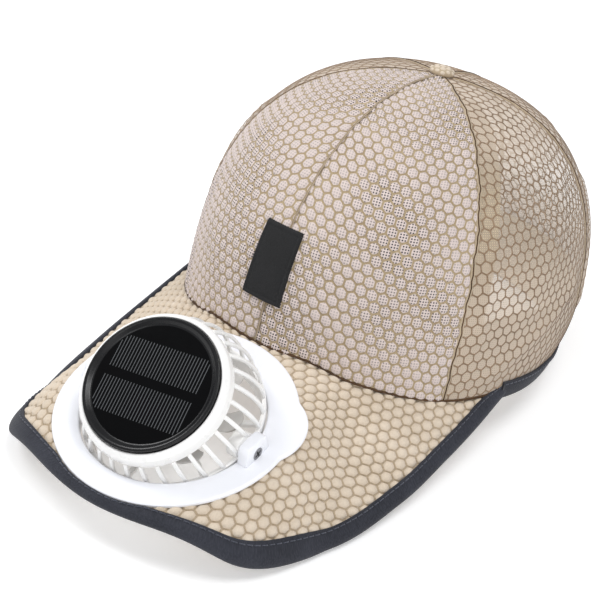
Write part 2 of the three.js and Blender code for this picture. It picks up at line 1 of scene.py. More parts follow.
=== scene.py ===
# %% [markdown]
# # A mesh cap with a solar fan in its brim
#
# This file makes the fine surface of the cap over its plain CAD frame: honeycomb cloth, folded
# tapes, stitches, moulded plastic and the solar cell. Every piece is worked out in millimetres in
# the hat's own frame, in which X points to the wearer's left, -Y points forward along the brim and
# Z points up. One matrix then lays the hat on the floor, as the CAD frame does.

# %%
import math

import bmesh
import bpy
import numpy as np
from mathutils import Matrix, Vector


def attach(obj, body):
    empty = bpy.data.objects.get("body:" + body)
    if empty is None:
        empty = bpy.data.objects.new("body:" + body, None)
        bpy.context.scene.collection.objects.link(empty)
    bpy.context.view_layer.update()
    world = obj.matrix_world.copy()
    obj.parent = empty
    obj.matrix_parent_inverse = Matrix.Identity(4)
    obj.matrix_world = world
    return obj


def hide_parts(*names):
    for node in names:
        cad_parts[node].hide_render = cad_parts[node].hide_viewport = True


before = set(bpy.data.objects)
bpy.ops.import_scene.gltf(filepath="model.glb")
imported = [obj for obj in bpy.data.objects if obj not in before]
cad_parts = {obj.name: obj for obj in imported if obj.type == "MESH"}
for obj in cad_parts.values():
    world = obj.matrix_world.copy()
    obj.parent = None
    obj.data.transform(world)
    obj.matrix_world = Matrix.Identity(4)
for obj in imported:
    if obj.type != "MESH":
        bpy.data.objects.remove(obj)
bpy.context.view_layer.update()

# %% [markdown]
# ## The hat's sizes
#
# A cap starts from the head that it fits: the rim is an ellipse of about 57 cm round. The crown
# grows out of it as a superellipse, upright at first and then closing into the dome. The brim is a
# flat board that the sewing bends down at both sides, with a flat seat for the fan. These could be
# sculpted meshes, but as formulas they give a point and a normal anywhere, and the knit, the seams
# and the tapes can all be laid on the very same surface.

# %%
crown_reach = 103.0
crown_half_width = 81.5
crown_height = 113.5
front_fullness, side_fullness, back_fullness = 2.83, 3.24, 2.15
dome_roundness = 2.4
rim_tuck, tuck_height = 5.0, 30.0
tuck_start, tuck_full = -0.4, 0.3
top_hole = 3.2
front_seam, back_seam = 54.0, 108.0
panel_wall, under_panel, under_lining = 1.2, 1.5, 2.8
brim_length, brim_thickness = 89.0, 2.0
brim_slope, brim_arch, front_rise = 21.3, 39.5, 13.2
brim_end = 72.0
outline_centre = 35.4
outline_angles = [-2.0, 12.0, 25.0, 40.0, 55.0, 70.0]
outline_reaches = [0.503, 0.515, 0.552, 0.639, 0.780, 0.957]
fan_from_tip = 44.0
flat_radius, arch_in_front, arch_behind = 40.5, 70.0, 68.0
fan_y = -(crown_reach + brim_length - fan_from_tip)
tip_reach = crown_reach + brim_length - outline_centre
slope_cos = math.cos(math.radians(brim_slope))
rim_tape, brim_tape, tape_wall, tape_slack = 7.5, 3.6, 1.0, 0.5
wide_tape = 5.4
cloth_gap = 0.3
plate_back, plate_front = 47.3, fan_from_tip / slope_cos + tape_wall - brim_tape - cloth_gap
plate_radius, plate_shift = (plate_front + plate_back) / 2, (plate_back - plate_front) / 2


def smoothstep(x, low, high):
    """A soft step from 0 at low to 1 at high."""
    share = np.clip((x - low) / (high - low), 0, 1)
    return share * share * (3 - 2 * share)


def lerp(a, b, share):
    return a + (b - a) * share


def crown_surface(phi, level):
    """Points of the crown's outer face, for angles from the front and levels from 0 to 1."""
    phi, level = np.broadcast_arrays(phi, level)
    height = np.sin(level * np.pi / 2)
    facing = np.cos(phi)
    end_fullness = np.where(facing > 0, front_fullness, back_fullness)
    fullness = side_fullness + (end_fullness - side_fullness) * facing**2
    spread = np.maximum(1 - np.abs(height) ** fullness, 0) ** (1 / dome_roundness)
    low = np.maximum(0, 1 - height * crown_height / tuck_height)
    tuck = rim_tuck * low * low * smoothstep(-facing, tuck_start, tuck_full)
    x = (crown_half_width * spread - tuck) * np.sin(phi)
    y = -(crown_reach * spread - tuck) * facing
    return np.stack([x, y, crown_height * height], -1)


def unit(vectors):
    return vectors / np.linalg.norm(vectors, axis=-1, keepdims=True)


def running_length(points):
    """Length along a line of points, from its start to each of them."""
    return np.concatenate([[0], np.cumsum(np.linalg.norm(np.diff(points, axis=0), axis=1))])


def crown_normal(phi, level):
    step = 1e-3
    around = crown_surface(phi + step, level) - crown_surface(phi - step, level)
    up = crown_surface(phi, level + step) - crown_surface(phi, level - step)
    return unit(np.cross(around, up))


def crown_point(phi, level, lift):
    """Points that stand off the crown's outer face by a lift in millimetres."""
    lift = np.asarray(lift)
    return crown_surface(phi, level) + crown_normal(phi, level) * lift[..., None]


def level_at(height):
    return np.arcsin(np.clip(height / crown_height, 0, 1)) * 2 / np.pi


def brim_height(x, y):
    """Height of the brim's upper face over a point of the plan."""
    distance = np.hypot(x, y - fan_y)
    backward = (1 + (y - fan_y) / np.maximum(distance, 1e-6)) / 2
    full = lerp(arch_in_front, arch_behind, backward)
    arch = smoothstep(distance, flat_radius, full)
    slope = math.tan(math.radians(brim_slope))
    return front_rise + slope * (y + crown_reach) - arch * brim_arch * (x / crown_half_width) ** 2


def brim_normal(x, y):
    step = 0.3
    along_x = (brim_height(x + step, y) - brim_height(x - step, y)) / (2 * step)
    along_y = (brim_height(x, y + step) - brim_height(x, y - step)) / (2 * step)
    return unit(np.stack([-along_x, -along_y, np.ones_like(along_x)], -1))


def brim_point(x, y, lift):
    """Points that stand off the brim's upper face by a lift in millimetres."""
    x, y = np.asarray(x, float), np.asarray(y, float)
    flat = np.stack([x, y, brim_height(x, y)], -1)
    return flat + brim_normal(x, y) * np.asarray(lift, float)[..., None]


def rim_height(phi):
    """Height of the crown's lower edge: on the brim in front, then down to the back."""
    facing = np.cos(phi)
    end_facing = math.cos(math.radians(brim_end))
    turned = np.abs(np.arctan2(np.sin(phi), facing))
    near = np.minimum(turned, math.radians(brim_end))
    on_brim = brim_height(crown_half_width * np.sin(near), -crown_reach * np.cos(near))
    return np.where(facing > end_facing, on_brim, on_brim * (1 + facing) / (1 + end_facing))


top_level = 1 - 2 / math.pi * math.acos(
    (1 - (top_hole / crown_half_width) ** dome_roundness) ** (1 / side_fullness)
)
print("rim heights at front, side and back, mm:", rim_height(np.radians([0.0, brim_end, 180.0])))

# %% [markdown]
# ## The outline of the brim
#
# The board is cut to one smooth line. It could be drawn as a Bezier curve, but a few listed reaches at
# named angles are easier to adjust against a photograph. They carry a spline, so the corners stay round
# where the plain frame has facets.

# %%
spline_steps = 40


def outline_points(count):
    """The brim's edge in plan, from the right end round the tip to the left end."""
    angles = np.radians(outline_angles)
    left = np.array(outline_reaches) * tip_reach
    xs, ys = left * np.cos(angles), -outline_centre - left * np.sin(angles)
    knots_x = np.concatenate([-xs, [0], xs[::-1]])
    knots_y = np.concatenate([ys, [-outline_centre - tip_reach], ys[::-1]])
    knots = np.stack([knots_x, knots_y], -1)
    padded = np.vstack([2 * knots[0] - knots[1], knots, 2 * knots[-1] - knots[-2]])
    line = []
    for k in range(len(knots) - 1):
        a, b, c, d = padded[k : k + 4]
        for u in np.linspace(0, 1, spline_steps, endpoint=False):
            linear = (c - a) * u
            square = (2 * a - 5 * b + 4 * c - d) * u**2
            cube = (3 * b - a - 3 * c + d) * u**3
            line.append(b + (linear + square + cube) / 2)
    line.append(knots[-1])
    line = np.array(line)
    run = running_length(line)
    at = np.linspace(0, run[-1], count)
    return np.stack([np.interp(at, run, line[:, 0]), np.interp(at, run, line[:, 1])], -1)


edge_line = outline_points(321)
edge_angle = np.arctan2(-(edge_line[:, 1] + outline_centre), edge_line[:, 0])
edge_reach = np.hypot(edge_line[:, 0], edge_line[:, 1] + outline_centre)
print("brim width, mm:", round(float(np.ptp(edge_line[:, 0])), 1))

# %% [markdown]
# ## Placing pieces and building meshes
#
# Each fan piece has a frame of its own: the plate lies square on the sloping brim, the cage leans
# forward on its two screws, and the drum leans further on the cage. `make` turns points and faces
# into a mesh that rides on its body and stands for its CAD node. The shapes are a grid, a turned
# profile or a section carried along a line. Modifiers could make most of them, but worked out as
# points they carry exact cloth UVs and come out the same each time.

# %%
MM = 0.001
weld_distance = 1e-6


def turn_x(degrees):
    return Matrix.Rotation(math.radians(degrees), 4, "X")


def turn_y(degrees):
    return Matrix.Rotation(math.radians(degrees), 4, "Y")


def turn_z(degrees):
    return Matrix.Rotation(math.radians(degrees), 4, "Z")


def shift(x, y, z):
    return Matrix.Translation((x, y, z))


rest_pitch = -7.3544
rest_place = (0, 45.8524, 14.5686)
hat_frame = shift(*rest_place) @ turn_x(rest_pitch)
plate_frame = hat_frame @ shift(0, fan_y, float(brim_height(0.0, fan_y))) @ turn_x(brim_slope)
pivot_height, cage_tilt, drum_tilt = 4.0, 8.0, 18.3
cage_frame = plate_frame @ shift(0, 0, pivot_height) @ turn_x(cage_tilt)
drum_frame = cage_frame @ turn_x(drum_tilt)


def placed(points, matrix):
    """Points in millimetres carried by a frame, as metres."""
    m = np.array(matrix)
    return (np.asarray(points, float) @ m[:3, :3].T + m[:3, 3]) * MM


def triangles(piece):
    return sum(len(p.vertices) - 2 for p in piece.data.polygons)


def make(name, shapes, materials, body="hat", nodes=(), sharp=None):
    """One object from shapes, each with points in metres, faces, a material number and cloth UVs."""
    points, faces, numbers, cloth = [], [], [], []
    count = 0
    for shape in shapes:
        points.append(shape["points"])
        cloth.append(shape.get("uv", np.zeros((len(shape["points"]), 2))))
        faces.extend([[i + count for i in face] for face in shape["faces"]])
        numbers.extend(shape.get("numbers", [0] * len(shape["faces"])))
        count += len(shape["points"])
    mesh = bpy.data.meshes.new(name)
    mesh.from_pydata(np.vstack(points).tolist(), [], faces)
    for material in materials:
        mesh.materials.append(material)
    mesh.polygons.foreach_set("material_index", numbers)
    corners = np.empty(len(mesh.loops), dtype=np.int32)
    mesh.loops.foreach_get("vertex_index", corners)
    layer = mesh.uv_layers.new(name="cloth")
    layer.data.foreach_set("uv", np.vstack(cloth)[corners].ravel())
    work = bmesh.new()
    work.from_mesh(mesh)
    bmesh.ops.remove_doubles(work, verts=work.verts, dist=weld_distance)
    bmesh.ops.dissolve_degenerate(work, edges=work.edges, dist=weld_distance)
    work.to_mesh(mesh)
    work.free()
    mesh.polygons.foreach_set("use_smooth", [True] * len(mesh.polygons))
    if sharp is not None:
        mesh.set_sharp_from_angle(angle=math.radians(sharp))
    piece = bpy.data.objects.new(name, mesh)
    bpy.context.scene.collection.objects.link(piece)
    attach(piece, body)
    if nodes:
        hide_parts(*nodes)
    print(f"{name}: {triangles(piece)} triangles")
    return piece


def rectangle(low_x, low_y, high_x, high_y):
    return [(low_x, low_y), (high_x, low_y), (high_x, high_y), (low_x, high_y)]


def grid_faces(rows, columns, close_rows=False, close_columns=False):
    """Quads over a grid of points stored row by row."""
    faces = []
    for i in range(rows if close_rows else rows - 1):
        for j in range(columns if close_columns else columns - 1):
            k, m = (i + 1) % rows, (j + 1) % columns
            faces.append([i * columns + j, i * columns + m, k * columns + m, k * columns + j])
    return faces


def rounded(corners, radius, steps=4):
    """A closed outline with its corners rounded, apart from those on the axis."""
    corners = [np.array(c, float) for c in corners]
    out = []
    for k, corner in enumerate(corners):
        a, b = corners[k - 1] - corner, corners[(k + 1) % len(corners)] - corner
        if corner[0] == 0:
            out.append(corner)
            continue
        la, lb = np.linalg.norm(a), np.linalg.norm(b)
        cut = min(radius, la / 2.01, lb / 2.01)
        start, end = corner + a / la * cut, corner + b / lb * cut
        for u in np.linspace(0, 1, steps + 1):
            out.append((1 - u) ** 2 * start + 2 * u * (1 - u) * corner + u * u * end)
    return np.array(out)


def lathe(profile, matrix, sides=96):
    """A closed profile of radius and height, turned about Z."""
    angles = np.arange(sides) * 2 * math.pi / sides
    radius, height = np.array(profile).T
    x = radius[None] * np.cos(angles)[:, None]
    y = radius[None] * np.sin(angles)[:, None]
    points = np.stack([x, y, np.broadcast_to(height, x.shape)], -1).reshape(-1, 3)
    faces = grid_faces(sides, len(radius), close_rows=True, close_columns=True)
    return {"points": placed(points, matrix), "faces": faces}


def cloth_uv(run, around):
    """Cloth UVs in metres for a grid of points, from the lengths along its rows and columns."""
    return np.stack(np.meshgrid(run, around, indexing="ij"), -1).reshape(-1, 2) * MM


def sweep(path, side, up, section, matrix):
    """A section of (side, up) pairs carried along a path, capped at its ends."""
    section = np.array(section, float)
    rows, columns = len(path), len(section)
    points = path[:, None] + side[:, None] * section[None, :, :1] + up[:, None] * section[None, :, 1:]
    faces = grid_faces(rows, columns, close_columns=True)
    faces.append(list(range(columns))[::-1])
    faces.append([(rows - 1) * columns + k for k in range(columns)])
    uv = cloth_uv(running_length(path), running_length(section))
    return {"points": placed(points.reshape(-1, 3), matrix), "faces": faces, "uv": uv}


def circle(radius, sides):
    angles = np.arange(sides) * 2 * math.pi / sides
    return np.stack([radius * np.cos(angles), radius * np.sin(angles)], -1)


print("fan centre over the brim, m:", [round(v * MM, 4) for v in plate_frame.translation])

# %% [markdown]
# ## Materials
#
# Each material is named for what it is made of and how. Colours are given as sRGB and turned into
# the linear values that the shader needs. Image textures would do for cloth, but a procedural
# pattern never repeats or blurs. It takes its scale from real sizes: the cloth UVs are in metres,
# so a knit loop of 0.45 mm is a scale of about 2200. Real loops are nearer 0.2 mm, too fine to show
# here, so they are drawn about twice as coarse.

# %%


def linear(code):
    """A colour such as #d9cbb4 as linear red, green and blue."""
    parts = [int(code[k : k + 2], 16) / 255 for k in (1, 3, 5)]
    return [v / 12.92 if v <= 0.04045 else ((v + 0.055) / 1.055) ** 2.4 for v in parts] + [1.0]


def add_node(tree, kind, settings=None, **inputs):
    """A node with its settings, and its inputs set to values or linked to sockets."""
    node = tree.nodes.new("ShaderNode" + kind)
    for key, value in (settings or {}).items():
        owner, _, field = key.rpartition(".")
        setattr(node.path_resolve(owner) if owner else node, field, value)
    for key, value in inputs.items():
        socket = node.inputs[int(key[1:]) if key[0] == "i" and key[1:].isdigit() else key]
        if isinstance(value, bpy.types.NodeSocket):
            tree.links.new(value, socket)
        else:
            socket.default_value = value
    return node


def new_material(name, colour, roughness, **values):
    material = bpy.data.materials.new(name)
    material.use_nodes = True
    shader = material.node_tree.nodes["Principled BSDF"]
    shader.inputs["Base Color"].default_value = linear(colour)
    shader.inputs["Roughness"].default_value = roughness
    for key, value in values.items():
        shader.inputs[key.replace("_", " ")].default_value = value
    material.diffuse_color = linear(colour)
    return material, material.node_tree, shader


def two_colours(low, dark, high, light):
    """Settings of a colour ramp between two colours, each at its own place."""
    ends = {"position": (low, high), "color": (linear(dark), linear(light))}
    return {f"color_ramp.elements[{k}].{field}": ends[field][k] for field in ends for k in (0, 1)}


def cloth(name, dark, light, roughness=0.85, loop=0.00045, depth=0.00012, sheen=0.25):
    """Knitted or woven cloth: fine loops, each painted darker towards its edge as the shade between loops,
    and a slow random change of tone over a few centimetres.
    """
    material, tree, shader = new_material(name, light, roughness)
    shader.inputs["Sheen Weight"].default_value = sheen
    shader.inputs["Sheen Roughness"].default_value = 0.5
    place = add_node(tree, "UVMap", {"uv_map": "cloth"}).outputs["UV"]
    loops = add_node(tree, "TexVoronoi", {"feature": "F1"}, Vector=place, Scale=1 / loop)
    drift = add_node(tree, "TexNoise", Vector=place, Scale=45.0, Detail=2.0)
    # Painted shade: the colour darkens towards each loop's edge, where shade falls between loops. The drift
    # adds random tone.
    shade = add_node(tree, "Math", {"operation": "MULTIPLY_ADD"}, i0=loops.outputs["Distance"], i1=-0.5)
    tree.links.new(drift.outputs["Fac"], shade.inputs[2])
    shade_high = add_node(tree, "Math", {"operation": "ADD"}, i0=shade.outputs[0], i1=0.25)
    colour = add_node(tree, "ValToRGB", two_colours(0.2, dark, 0.8, light), i0=shade_high.outputs[0])
    tree.links.new(colour.outputs["Color"], shader.inputs["Base Color"])
    relief = add_node(tree, "Bump", i0=1.0, Distance=-depth, Height=loops.outputs["Distance"])
    tree.links.new(relief.outputs["Normal"], shader.inputs["Normal"])
    return material


hole_depth = 0.0002


def pin_mesh(name, cloth_colour, hole_shade_colour, pitch, hole, open_share=0.0):
    """A fine net with square pin holes painted with the shade that falls in them, darker in patches.

    open_share lets light through the ground. Less of it passes near the rim, so that the panel's own colour
    stands in for the shade inside the hat, where the lit floor would show through. Less passes near the
    button too. Both heights are along the cloth, in metres.
    """
    material, tree, shader = new_material(name, cloth_colour, 0.9)
    shader.inputs["Sheen Weight"].default_value = 0.2
    place = add_node(tree, "UVMap", {"uv_map": "cloth"}).outputs["UV"]
    split = add_node(tree, "SeparateXYZ", i0=place)
    across = add_node(tree, "Math", {"operation": "PINGPONG"}, i0=split.outputs["X"], i1=pitch / 2)
    along = add_node(tree, "Math", {"operation": "PINGPONG"}, i0=split.outputs["Y"], i1=pitch / 2)
    least = add_node(tree, "Math", {"operation": "MAXIMUM"}, i0=across.outputs[0], i1=along.outputs[0])
    band = {"interpolation_type": "SMOOTHSTEP"}
    edges = {"From Min": hole * 0.62, "From Max": hole * 0.38}
    in_hole = add_node(tree, "MapRange", band, Value=least.outputs[0], **edges)
    drift = add_node(tree, "TexNoise", Vector=place, Scale=22.0, Detail=1.0)
    patches = {"From Min": 0.42, "From Max": 0.6, "To Min": 0.25}
    patchy = add_node(tree, "MapRange", Value=drift.outputs["Fac"], **patches)
    product = {"operation": "MULTIPLY"}
    depth = add_node(tree, "Math", product, i0=in_hole.outputs[0], i1=patchy.outputs[0])
    # Painted shade: the pin holes take the hole shade colour, more of it in the darker patches.
    ends = two_colours(0.0, cloth_colour, 1.0, hole_shade_colour)
    colour = add_node(tree, "ValToRGB", ends, i0=depth.outputs[0])
    tree.links.new(colour.outputs["Color"], shader.inputs["Base Color"])
    relief = add_node(tree, "Bump", i0=1.0, Distance=-hole_depth, Height=in_hole.outputs[0])
    tree.links.new(relief.outputs["Normal"], shader.inputs["Normal"])
    if open_share > 0:
        shares = {"To Min": open_share, "To Max": open_share + 0.3}
        clear = add_node(tree, "MapRange", Value=in_hole.outputs[0], **shares)
        # Near the rim the ground lets less light through: its colour stands in for the shaded inside of the
        # hat.
        rim_side = {"From Min": 0.04, "From Max": 0.075, "To Min": 0.35}
        open_above_rim = add_node(tree, "MapRange", band, Value=split.outputs["Y"], **rim_side)
        button_side = {"From Min": 0.088, "From Max": 0.115, "To Min": 1.0, "To Max": 0.3}
        open_below_button = add_node(tree, "MapRange", band, Value=split.outputs["Y"], **button_side)
        spread = add_node(tree, "Math", product, i0=open_above_rim.outputs[0], i1=open_below_button.outputs[0])
        thin = add_node(tree, "Math", product, i0=clear.outputs[0], i1=spread.outputs[0])
        solid = add_node(tree, "Math", {"operation": "SUBTRACT"}, i0=1.0, i1=thin.outputs[0])
        tree.links.new(solid.outputs[0], shader.inputs["Alpha"])
    return material


def moulded(name, colour, roughness=0.3, grain=0.00004, **values):
    """Injection-moulded plastic with a faint surface wave and a little unevenness in its gloss."""
    material, tree, shader = new_material(name, colour, roughness, **values)
    shader.inputs["IOR"].default_value = 1.5
    place = add_node(tree, "TexCoord").outputs["Object"]
    wave = add_node(tree, "TexNoise", Vector=place, Scale=260.0, Detail=3.0)
    span = {"To Min": roughness * 0.8, "To Max": roughness * 1.25}
    gloss = add_node(tree, "MapRange", Value=wave.outputs["Fac"], **span)
    tree.links.new(gloss.outputs[0], shader.inputs["Roughness"])
    relief = add_node(tree, "Bump", i0=1.0, Distance=grain, Height=wave.outputs["Fac"])
    tree.links.new(relief.outputs["Normal"], shader.inputs["Normal"])
    return material


# %% [markdown]
# ## The hat's own finishes
#
# Knitted polyester is matte with a faint sheen: the raised net is darker than its ground, and the lined
# front is pale, with pin holes painted dark with the shade that falls in them. Woven tapes are tighter,
# with almost no sheen. The fan is ABS, glossy where it is polished in the mould, and its blades are clouded
# polypropylene. The cell is silicon under resin, nearly black, so its printed fingers show. Photographs of
# swatches could give these too, but two hex values and a real pitch for each are enough at this size.

# %%
net_front = cloth("knitted polyester net, front", "#9b8769", "#b5a282")
net_side = cloth("knitted polyester net, sheer", "#775f47", "#9b8268")
net_seam = cloth("knitted polyester net, folded", "#a5937a", "#c2b095")
pad_front = pin_mesh("knitted ground over lining", "#d9cac4", "#241f26", 0.00112, 0.00056)
pad_side = pin_mesh("sheer knitted ground", "#d6c4b0", "#b3a28e", 0.0009, 0.0003, open_share=0.6)
brim_net = cloth("knitted polyester net, brim", "#ab997f", "#c2b098")
brim_pad = cloth("padded polyester knit", "#cfbfaa", "#dccdba", depth=0.00008)
lining_cloth = pin_mesh("fine polyester lining", "#ded5d5", "#8f8689", 0.0011, 0.0004)
tape_cloth = cloth("woven cotton tape", "#c4b391", "#dccbaa", loop=0.0006)
band_cloth = cloth("cotton terry", "#c9bda9", "#e0d6c6", loop=0.0009, depth=0.0003)
navy_tape = cloth("woven polyester binding", "#1b1d26", "#31333d", loop=0.0005, sheen=0.06)
navy_thread = cloth("spun navy thread", "#262833", "#585c6b", loop=0.0003)
# Painted shade: the dark brown of the seams' grooves and of the corner between crown and brim.
seam_groove_shade = cloth("painted shade of seam grooves", "#33210f", "#624529", loop=0.0004, sheen=0.0)
patch_cloth = cloth("woven black patch", "#101011", "#1a1a1c", loop=0.0005, sheen=0.0)
patch_edge = cloth("black overlock thread", "#0c0c0d", "#202022", loop=0.0004, sheen=0.0)
white_plastic = moulded("glossy white ABS, moulded", "#f4f5fa", 0.22)
cage_plastic = moulded("satin white ABS, moulded", "#f7f6f4", 0.28)
blade_plastic = moulded("clouded polypropylene, moulded", "#cfccc8", 0.35)
rim_plastic = moulded("black ABS, moulded", "#0d0d0f", 0.26, Specular_IOR_Level=0.35)
cell_face = moulded("monocrystalline silicon under resin", "#060607", 0.2, Specular_IOR_Level=0.08)
cell_finger = moulded("screen-printed silver finger", "#4c4e51", 0.5, Metallic=0.3)
screw_steel = moulded("zinc-plated steel, machined", "#8d8d90", 0.4, Metallic=0.9)
# Painted shade for the screws' cross recess.
recess_painted_shade = moulded("painted shade of screw recess", "#19191a", 0.7)
motor_steel = moulded("zinc-plated steel, drawn", "#b9b9bd", 0.35, Metallic=1.0)
print("materials:", len(bpy.data.materials))

# %% [markdown]
# ## Camera and light
#
# The camera stands where the photograph's view of the hat comes from. Its fit was made in the
# hat's frame, so the hat's matrix carries it to the floor. Large soft lamps stand in for a
# studio's light tent. A sky image would light it as evenly, but lamps can be moved one by one until
# each highlight falls where it should.

# %%
view_azimuth, view_elevation, view_roll = 27.53, 21.08, 13.85
view_distance = 600.0
focal_pixels, image_pixels = 1418.7, 600.0
shift_pixels = (53.7, -51.2)
azimuth, elevation, roll = (math.radians(v) for v in (view_azimuth, view_elevation, view_roll))
back = np.array([
    math.sin(azimuth) * math.cos(elevation),
    -math.cos(azimuth) * math.cos(elevation),
    math.sin(elevation),
])
right = np.array([math.cos(azimuth), math.sin(azimuth), 0])
above = np.cross(back, right)
right_rolled = right * math.cos(roll) + above * math.sin(roll)
up_rolled = above * math.cos(roll) - right * math.sin(roll)
look_at = np.array([0, -40, 40])
eye = look_at + back * view_distance
columns = np.array([right_rolled, up_rolled, back]).T
camera_in_hat = Matrix.Identity(4)
for i in range(3):
    for j in range(3):
        camera_in_hat[i][j] = columns[i, j]
    camera_in_hat[i][3] = eye[i]
camera_world = hat_frame @ camera_in_hat
camera_data = bpy.data.cameras.new("camera")
camera_data.sensor_width = 36
camera_data.lens = camera_data.sensor_width * focal_pixels / image_pixels
camera_data.shift_x = -shift_pixels[0] / image_pixels
camera_data.shift_y = shift_pixels[1] / image_pixels
camera_data.clip_start = 0.01
camera = bpy.data.objects.new("camera", camera_data)
camera_turn = camera_world.to_quaternion().to_matrix().to_4x4()
camera.matrix_world = Matrix.Translation(camera_world.translation * MM) @ camera_turn
bpy.context.scene.collection.objects.link(camera)
bpy.context.scene.camera = camera


def lamp(name, place, target, size, watts):
    data = bpy.data.lights.new(name, "AREA")
    data.shape = "RECTANGLE"
    data.size, data.size_y = size
    data.energy = watts
    lamp_object = bpy.data.objects.new(name, data)
    lamp_object.location = place
    direction = Vector(target) - lamp_object.location
    lamp_object.rotation_mode = "QUATERNION"
    lamp_object.rotation_quaternion = direction.to_track_quat("-Z", "Y")
    bpy.context.scene.collection.objects.link(lamp_object)


lamp("key", (-0.95, -0.2, 1.0), (0, -0.02, 0.04), (0.5, 0.5), 6.7)
lamp("top", (0.35, -0.1, 1.2), (0, -0.02, 0.04), (0.5, 0.5), 5.4)
lamp("fill", (0.9, -0.7, 0.5), (0, 0, 0.05), (0.9, 0.7), 1.7)
lamp("front", (0.15, -1.2, 0.9), (0, -0.05, 0.03), (0.7, 0.5), 2.6)
world = bpy.data.worlds.new("studio")
world.use_nodes = True
world.node_tree.nodes["Background"].inputs["Color"].default_value = (0.95, 0.97, 1.0, 1)
world.node_tree.nodes["Background"].inputs["Strength"].default_value = 0.5
bpy.context.scene.world = world
bpy.context.scene.view_settings.view_transform = "Standard"

floor_mesh = bpy.data.meshes.new("floor")
floor_mesh.from_pydata([(-4, -4, 0), (4, -4, 0), (4, 4, 0), (-4, 4, 0)], [], [[0, 1, 2, 3]])
floor_material, _, floor_shader = new_material("matt white light table", "#f3f3f3", 0.9)
floor_shader.inputs["Emission Color"].default_value = (1, 1, 1, 1)
floor_shader.inputs["Emission Strength"].default_value = 0.3
floor_mesh.materials.append(floor_material)
floor = bpy.data.objects.new("floor", floor_mesh)
bpy.context.scene.collection.objects.link(floor)
print("camera, m:", [round(v, 3) for v in camera.location])

# %% [markdown]
# ## The honeycomb cloth
#
# The knit is a sandwich: a coarse hexagonal net of raised loops over a fine ground. It comes off
# the roll with one cell size everywhere, so the lattice is laid out flat in millimetres first and
# only then bent onto the panel. Each cell is a ring of the net round a small pad of the ground. A
# bump texture would be lighter, but the cells stand up enough to show in the outline and in raking
# light, so they are real geometry.

# %%
cell_pitch, cell_row = 4.8, 4.16
cell_room = cell_pitch * 0.55
round_inside, hexagonal_edge = 0.6, 1.0
pad_crown = 1.03


def hexagon(count_per_side=2):
    turns = np.radians(60 * np.arange(6))
    corners = np.stack([np.sin(turns), np.cos(turns)], -1)
    points = []
    for k in range(6):
        for u in np.arange(count_per_side) / count_per_side:
            points.append(lerp(corners[k], corners[(k + 1) % 6], u))
    return np.array(points) * cell_pitch / math.sqrt(3)


def honeycomb(s_range, t_range, layers, keep, bend, weave):
    """Lattice over a flat piece of cloth. layers are (share of the cell, lift) pairs from its edge in.

    keep says which cell centres lie on the piece, and bend turns flat places and lifts into points.
    weave is the 2 by 2 matrix by which the sewing has turned and stretched the knit.
    """
    edge = hexagon()
    circle_points = unit(edge) * cell_pitch / 2
    sides = len(edge)
    weave = np.array(weave)
    corners = np.array([(s, t) for s in s_range for t in t_range]) @ np.linalg.inv(weave).T
    low, high = corners.min(axis=0), corners.max(axis=0)
    columns = np.arange(math.floor(low[0] / cell_pitch) - 1, math.ceil(high[0] / cell_pitch) + 2)
    rows = np.arange(math.floor(low[1] / cell_row) - 1, math.ceil(high[1] / cell_row) + 2)
    j, i = np.meshgrid(rows, columns, indexing="ij")
    centres = np.stack([(i + 0.5 * (j % 2)) * cell_pitch, j * cell_row], -1).reshape(-1, 2)
    centres = centres[keep(*(centres @ weave.T).T)]
    template, lifts = [], []
    for share, lift in layers:
        ring = lerp(circle_points, edge, smoothstep(share, round_inside, hexagonal_edge)) * share
        template.append(ring)
        lifts.append(np.full(sides, lift))
    template.append(np.zeros((1, 2)))
    lifts.append([layers[-1][1] * pad_crown])
    template, lifts = np.vstack(template), np.concatenate(lifts)
    flat = (centres[:, None] + template[None]).reshape(-1, 2)
    lift = np.tile(lifts, len(centres))
    keys = np.round(flat / MM).astype(np.int64)
    first, inverse = np.unique(keys, axis=0, return_index=True, return_inverse=True)[1:]
    inverse = inverse.reshape(len(centres), -1)
    faces, numbers = [], []
    last = len(layers) * sides
    for cell in inverse:
        for layer in range(len(layers) - 1):
            for k in range(sides):
                m = (k + 1) % sides
                a, b = layer * sides, (layer + 1) * sides
                faces.append([cell[a + k], cell[b + k], cell[b + m], cell[a + m]])
                numbers.append(min(layer, 1))
        a = (len(layers) - 1) * sides
        for k in range(sides):
            faces.append([cell[a + k], cell[last], cell[a + (k + 1) % sides]])
            numbers.append(1)
    faces = [[int(v) for v in face] for face in faces]
    woven = flat[first] @ weave.T
    points = bend(woven[:, 0], woven[:, 1], lift[first])
    return {"points": placed(points, hat_frame), "faces": faces, "numbers": numbers, "uv": woven * MM}


print("cell of the knit, mm:", cell_pitch, "across and", cell_row, "from row to row")

# %% [markdown]
# ## Soft folds
#
# An unlined crown hangs in shallow folds between its seams. Cloth simulation could find them, but
# the folds of one hat are a fact, not a law, so each is a soft ridge between two places that are
# given as an angle from the front in degrees and a height in millimetres. Its last two numbers are
# its half width and its rise.

# %%
soft_folds = [
    (60, 30, 61, 84, 3.2, 1.1),
    (66, 14, 98, 44, 3.6, 1.3),
    (74, 40, 92, 88, 5.0, 0.9),
    (112, 30, 116, 80, 4.0, 1.2),
    (128, 20, 160, 60, 5.0, 1.1),
    (150, 60, 140, 96, 5.0, 0.9),
    (20, 34, 44, 60, 6.0, 0.5),
    (38, 70, 30, 98, 5.0, 0.5),
]


